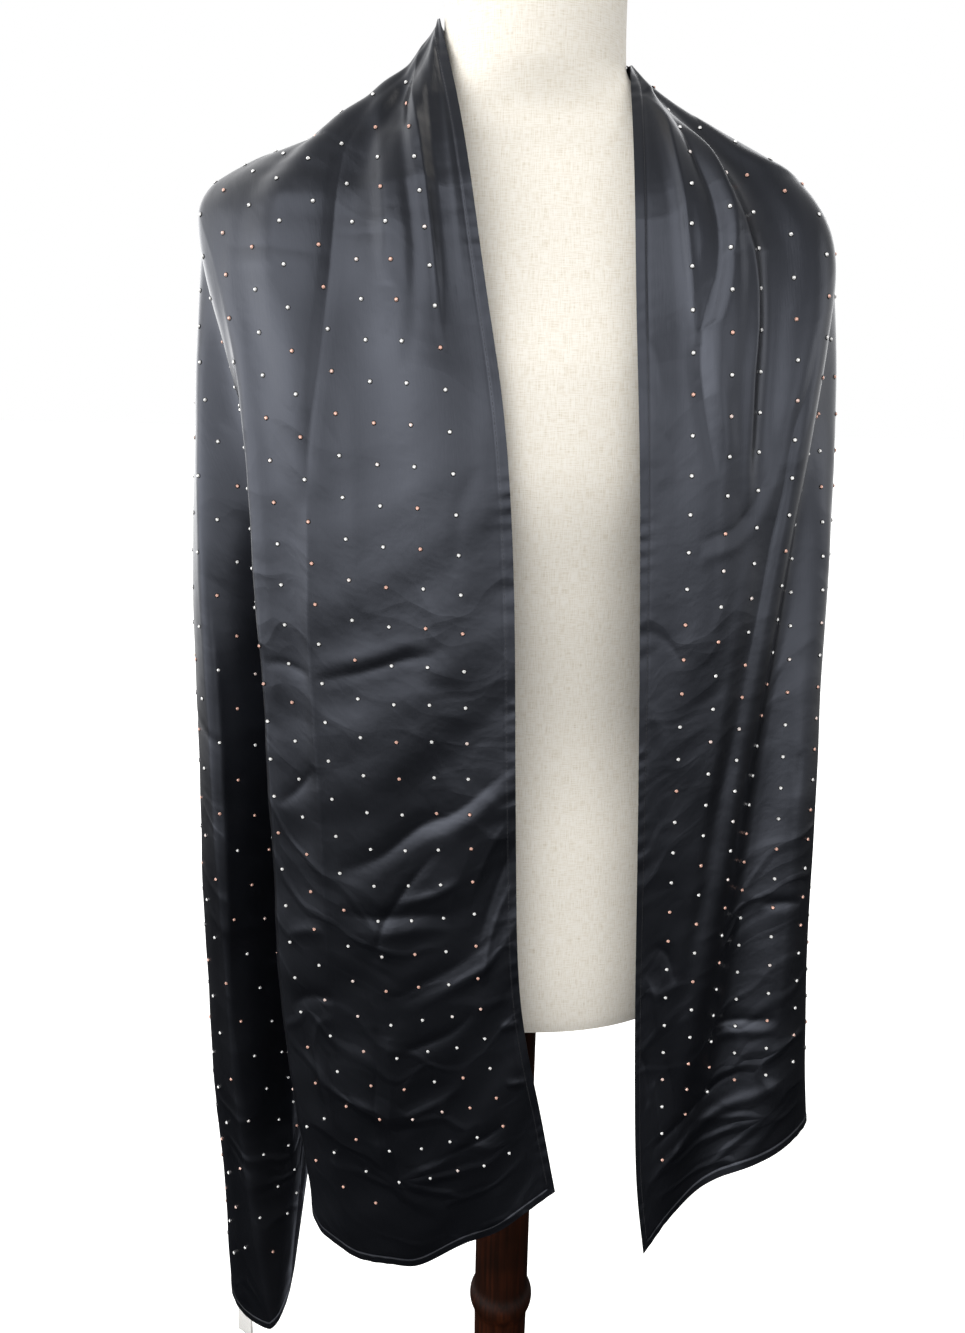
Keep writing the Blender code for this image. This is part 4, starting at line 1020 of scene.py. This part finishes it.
def stitch_spots(line, out):
    """Even stitches along a line: rows of place and normal, and the way along."""
    run = run_along(line, 0)
    at = np.arange(STITCH_PITCH, run[-1] - STITCH_PITCH, STITCH_PITCH)
    spots = np.stack([np.interp(at, run, column) for column in (*line.T, *out.T)], -1)
    along = np.stack([np.interp(at + STITCH_LENGTH / 2, run, column) - np.interp(at - STITCH_LENGTH / 2, run, column)
                      for column in line.T], -1)
    return spots, along


def thread_shape(material):
    """One stitch: a short round thread, thinner at both ends where it goes into the cloth."""
    turn = 2 * math.pi * np.arange(STITCH_SIDES) / STITCH_SIDES
    rows = [(-0.5, 0.4), (-0.32, 1.0), (0.32, 1.0), (0.5, 0.4)]
    points, faces = capped([[(x, r * math.cos(t), r * math.sin(t)) for t in turn] for x, r in rows],
                           (-0.5, 0, 0), (0.5, 0, 0))
    mesh = bpy.data.meshes.new("one_stitch")
    mesh.from_pydata(points.tolist(), [], faces)
    mesh.polygons.foreach_set("use_smooth", [True] * len(faces))
    mesh.materials.append(material)
    return bpy.data.objects.new("one_stitch", mesh)


thread, tree, shader = finish_of("black_polyester_thread", 0.5, Sheen_Weight=0.1)
shader.inputs["Base Color"].default_value = linear(THREAD_BLACK)
inside = (hem_gap[:, 0] > SEAM_INSET) & (down[:, 0] > SEAM_INSET)
right_seam = seam_line(across_all, outer, facing, inside)
inside = (hem_gap[:, -1] > SEAM_INSET) & (down[:, -1] > SEAM_INSET)
left_seam = seam_line((across_all[:, -1:] - across_all)[:, ::-1], outer[:, ::-1], facing[:, ::-1], inside)
turned_grids = [grid[::-1].swapaxes(0, 1) for grid in (outer, facing)]
hem_seam = seam_line(hem_gap[::-1].T, *turned_grids, edge_gap[-1] > SEAM_INSET)
stitch_rows = [stitch_spots(*seam) for seam in (right_seam, left_seam, hem_seam)]
stitches, ways = [np.concatenate(parts) for parts in zip(*stitch_rows)]
place_shapes("hem_stitching", stitches, ways, np.zeros(len(stitches)), thread_shape(thread),
             (STITCH_LENGTH, STITCH_RADIUS, STITCH_RADIUS), thread)


# Care label: a short blank tape of white polyester satin, folded in two, with its ends sewn
# into the hem of the left fall
LABEL_STATION = 3.20
LABEL_SPAN = 0.03
LABEL_DROP = 0.0235
LABEL_WALL = 0.0003
LABEL_FOLD = 0.0007
LABEL_WHITE = "#dcdad6"
LABEL_RIB = "#c4c2be"
# Ribs of the weave, a little under 0.5 mm apart, in the wave texture's own measure
RIB_TURNS = 700.0
RIB_DEPTH = 0.0002


def build_label(material):
    """The folded tape, hung where the hem's two neighbouring places give its width and way."""
    left, right = [outer[-1, np.argmin(np.abs(stations - LABEL_STATION - way * LABEL_SPAN))] for way in (-1, 1)]
    low, high = [np.array(corner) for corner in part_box("care_label")]
    middle = (low + high) / 2
    side = (right - left) * (1, 1, 0)
    width = np.linalg.norm(side) * 0.96
    side /= np.linalg.norm(side)
    out = np.cross(side, (0, 0, 1.0))
    # Down the front layer, round the fold and up the back layer, as (out, down) pairs
    straight = LABEL_DROP - LABEL_FOLD
    downs = np.linspace(0, straight, 16)
    bulge = 0.0006 * np.sin(math.pi * downs / straight)
    bend = np.linspace(0, math.pi, 9)[1:-1]
    path = np.concatenate([
        np.stack([LABEL_FOLD * (0.4 + 0.6 * downs / straight) + bulge, downs], -1),
        np.stack([LABEL_FOLD * np.cos(bend), straight + LABEL_FOLD * np.sin(bend)], -1),
        np.stack([-LABEL_FOLD * (0.4 + 0.6 * downs / straight), downs], -1)[::-1]])
    step = np.gradient(path, axis=0)
    step /= np.linalg.norm(step, axis=1)[:, None]
    outwards = np.stack([step[:, 1], -step[:, 0]], -1)
    turn = np.linspace(-0.5, 0.5, 9)
    grids = []
    for line in (path, path - outwards * LABEL_WALL):
        curl = 0.0012 * (2 * turn[None, :]) ** 2 * (line[:, 1:] / LABEL_DROP) ** 2
        grids.append(np.array([middle[0], middle[1], high[2]]) + turn[None, :, None] * width * side
                     + (line[:, :1, None] + curl[..., None]) * out - line[:, 1:, None] * np.array([0, 0, 1.0]))
    front, back = grids
    points, faces = walled(front, back[::2, ::2])
    place = np.stack([np.broadcast_to(turn * width, front.shape[:2]),
                      np.broadcast_to(run_along(path, 0)[:, None], front.shape[:2])], -1)
    return mesh_piece("care_label_tape", points, faces, material,
                      np.concatenate([place.reshape(-1, 2), place[::2, ::2].reshape(-1, 2)]))


label_finish, tree, shader = finish_of("woven_label_tape", 0.5, Sheen_Weight=0.1)
place = add_node(tree, "ShaderNodeUVMap", uv_map="cloth").outputs["UV"]
ribs = add_node(tree, "ShaderNodeTexWave", {"Vector": place, "Scale": RIB_TURNS, "Distortion": 0.6},
                bands_direction="Y")
tape_colour = add_node(tree, "ShaderNodeValToRGB", {"Fac": ribs.outputs["Fac"]}, stops=[
    (0.0, LABEL_RIB), (1.0, LABEL_WHITE)])
rib_bump = add_node(tree, "ShaderNodeBump", {"Height": ribs.outputs["Fac"], "Strength": 0.2, "Distance": RIB_DEPTH})
tree.links.new(tape_colour.outputs["Color"], shader.inputs["Base Color"])
tree.links.new(rib_bump.outputs["Normal"], shader.inputs["Normal"])
label = build_label(label_finish)
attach(label, "root")
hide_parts("care_label")


# Studio: a pale floor, one large soft light high in front, softer ones at the sides and
# behind, and a camera at breast height close in front
FLOOR_PALE = "#f4f4f2"
FLOOR_HALF = 12.0
BACKDROP_GLOW = 1.0
# How bright the room is. First by height of the direction, -1 straight down to 1 straight up:
# a dark floor, a bright band of windows and a softer ceiling. Then by its side, -1 left to
# 1 right: windows in front and at the left with a pier between them, and a dark right side
ROOM_LIGHT = [(-1.0, 0.0), (-0.50, 0.02), (-0.38, 0.05), (-0.26, 0.9), (-0.12, 2.1), (0.06, 2.6), (0.34, 1.4),
              (1.0, 0.45)]
ROOM_SIDES = [(-1.0, 0.8), (-0.72, 1.5), (-0.42, 1.15), (-0.20, 1.0), (0.02, 0.85), (0.22, 0.56), (0.45, 0.85),
              (0.75, 0.45), (1.0, 0.4)]
ROOM_PEAK = 3.0
floor_finish, tree, shader = finish_of("pale_studio_floor", 0.9, Specular_IOR_Level=0.1, Emission_Strength=0.93)
shader.inputs["Base Color"].default_value = linear(FLOOR_PALE)
shader.inputs["Emission Color"].default_value = linear(FLOOR_PALE)
floor = mesh_piece("studio_floor", [(-FLOOR_HALF, -FLOOR_HALF, 0), (FLOOR_HALF, -FLOOR_HALF, 0),
                                    (FLOOR_HALF, FLOOR_HALF, 0), (-FLOOR_HALF, FLOOR_HALF, 0)],
                   [(0, 1, 2, 3)], floor_finish)
floor.visible_glossy = False
floor.visible_diffuse = False

world = bpy.data.worlds.new("studio_air")
world.use_nodes = True
tree = world.node_tree
seen = add_node(tree, "ShaderNodeLightPath").outputs["Is Camera Ray"]
direction = add_node(tree, "ShaderNodeSeparateXYZ",
                     {"Vector": add_node(tree, "ShaderNodeTexCoord").outputs["Generated"]})
bright = 1.0
for axis, rows in (("Z", ROOM_LIGHT), ("X", ROOM_SIDES)):
    along_axis = add_node(tree, "ShaderNodeMapRange", {"Value": direction.outputs[axis], "From Min": -1.0})
    room = add_node(tree, "ShaderNodeFloatCurve", {"Value": along_axis.outputs["Result"]})
    curve = room.mapping.curves[0]
    for place, level in rows[1:-1]:
        curve.points.new((place + 1) / 2, level / ROOM_PEAK)
    curve.points[0].location = (0, rows[0][1] / ROOM_PEAK)
    curve.points[-1].location = (1, rows[-1][1] / ROOM_PEAK)
    room.mapping.update()
    scaled = add_node(tree, "ShaderNodeMath", {0: room.outputs["Value"], 1: ROOM_PEAK}, operation="MULTIPLY")
    bright = add_node(tree, "ShaderNodeMath", {0: scaled.outputs["Value"], 1: bright},
                      operation="MULTIPLY").outputs["Value"]
glow = add_node(tree, "ShaderNodeMapRange", {"Value": seen, "To Min": bright, "To Max": BACKDROP_GLOW})
air = tree.nodes["Background"]
air.inputs["Color"].default_value = linear("#ffffff")
tree.links.new(glow.outputs["Result"], air.inputs["Strength"])
bpy.context.scene.world = world
bpy.context.scene.view_settings.view_transform = "Standard"

# Columns: name, place, aim, width, height, watts
SOFT_LIGHTS = [
    ("high_front_light", (-0.5, -1.4, 2.5), (0.0, 0.0, 1.2), 1.8, 1.2, 10),
    ("left_light", (-2.2, -0.6, 1.9), (0.0, 0.0, 1.0), 1.0, 1.6, 6),
    ("right_light", (2.2, -0.4, 1.9), (0.0, 0.0, 1.0), 1.0, 1.6, 5),
    ("back_light", (0.6, 2.2, 2.4), (0.0, 0.0, 1.1), 1.8, 1.4, 12),
]
for name, place, aim, width, height, watts in SOFT_LIGHTS:
    lamp = bpy.data.lights.new(name, "AREA")
    lamp.shape = "RECTANGLE"
    lamp.size, lamp.size_y, lamp.energy = width, height, watts
    light = bpy.data.objects.new(name, lamp)
    light.visible_camera = False
    light.location = place
    light.rotation_euler = (Vector(aim) - Vector(place)).to_track_quat("-Z", "Y").to_euler()
    bpy.context.scene.collection.objects.link(light)

CAMERA_PLACE = (0.0, -0.778, 1.23)
CAMERA_TURN = -2.0
CAMERA_DROP = 18.0
CAMERA_ROLL = 0.95
FOCAL_PIXELS = 1060
FRAME_PIXELS = 1333
SENSOR = 36.0
h, p, k = math.radians(CAMERA_TURN), math.radians(CAMERA_DROP), math.radians(CAMERA_ROLL)
level_way = Vector((math.sin(h), math.cos(h), 0))
up = Vector((0, 0, 1))
look = level_way * math.cos(p) - up * math.sin(p)
rise = level_way * math.sin(p) + up * math.cos(p)
right = Vector((math.cos(h), -math.sin(h), 0))
side, top = right * math.cos(k) + rise * math.sin(k), -right * math.sin(k) + rise * math.cos(k)
lens = bpy.data.cameras.new("front_camera")
lens.sensor_width = SENSOR
lens.lens = FOCAL_PIXELS / FRAME_PIXELS * SENSOR
camera = bpy.data.objects.new("front_camera", lens)
camera.matrix_world = Matrix(((side.x, top.x, -look.x, CAMERA_PLACE[0]), (side.y, top.y, -look.y, CAMERA_PLACE[1]),
                              (side.z, top.z, -look.z, CAMERA_PLACE[2]), (0, 0, 0, 1)))
bpy.context.scene.collection.objects.link(camera)
bpy.context.scene.camera = camera
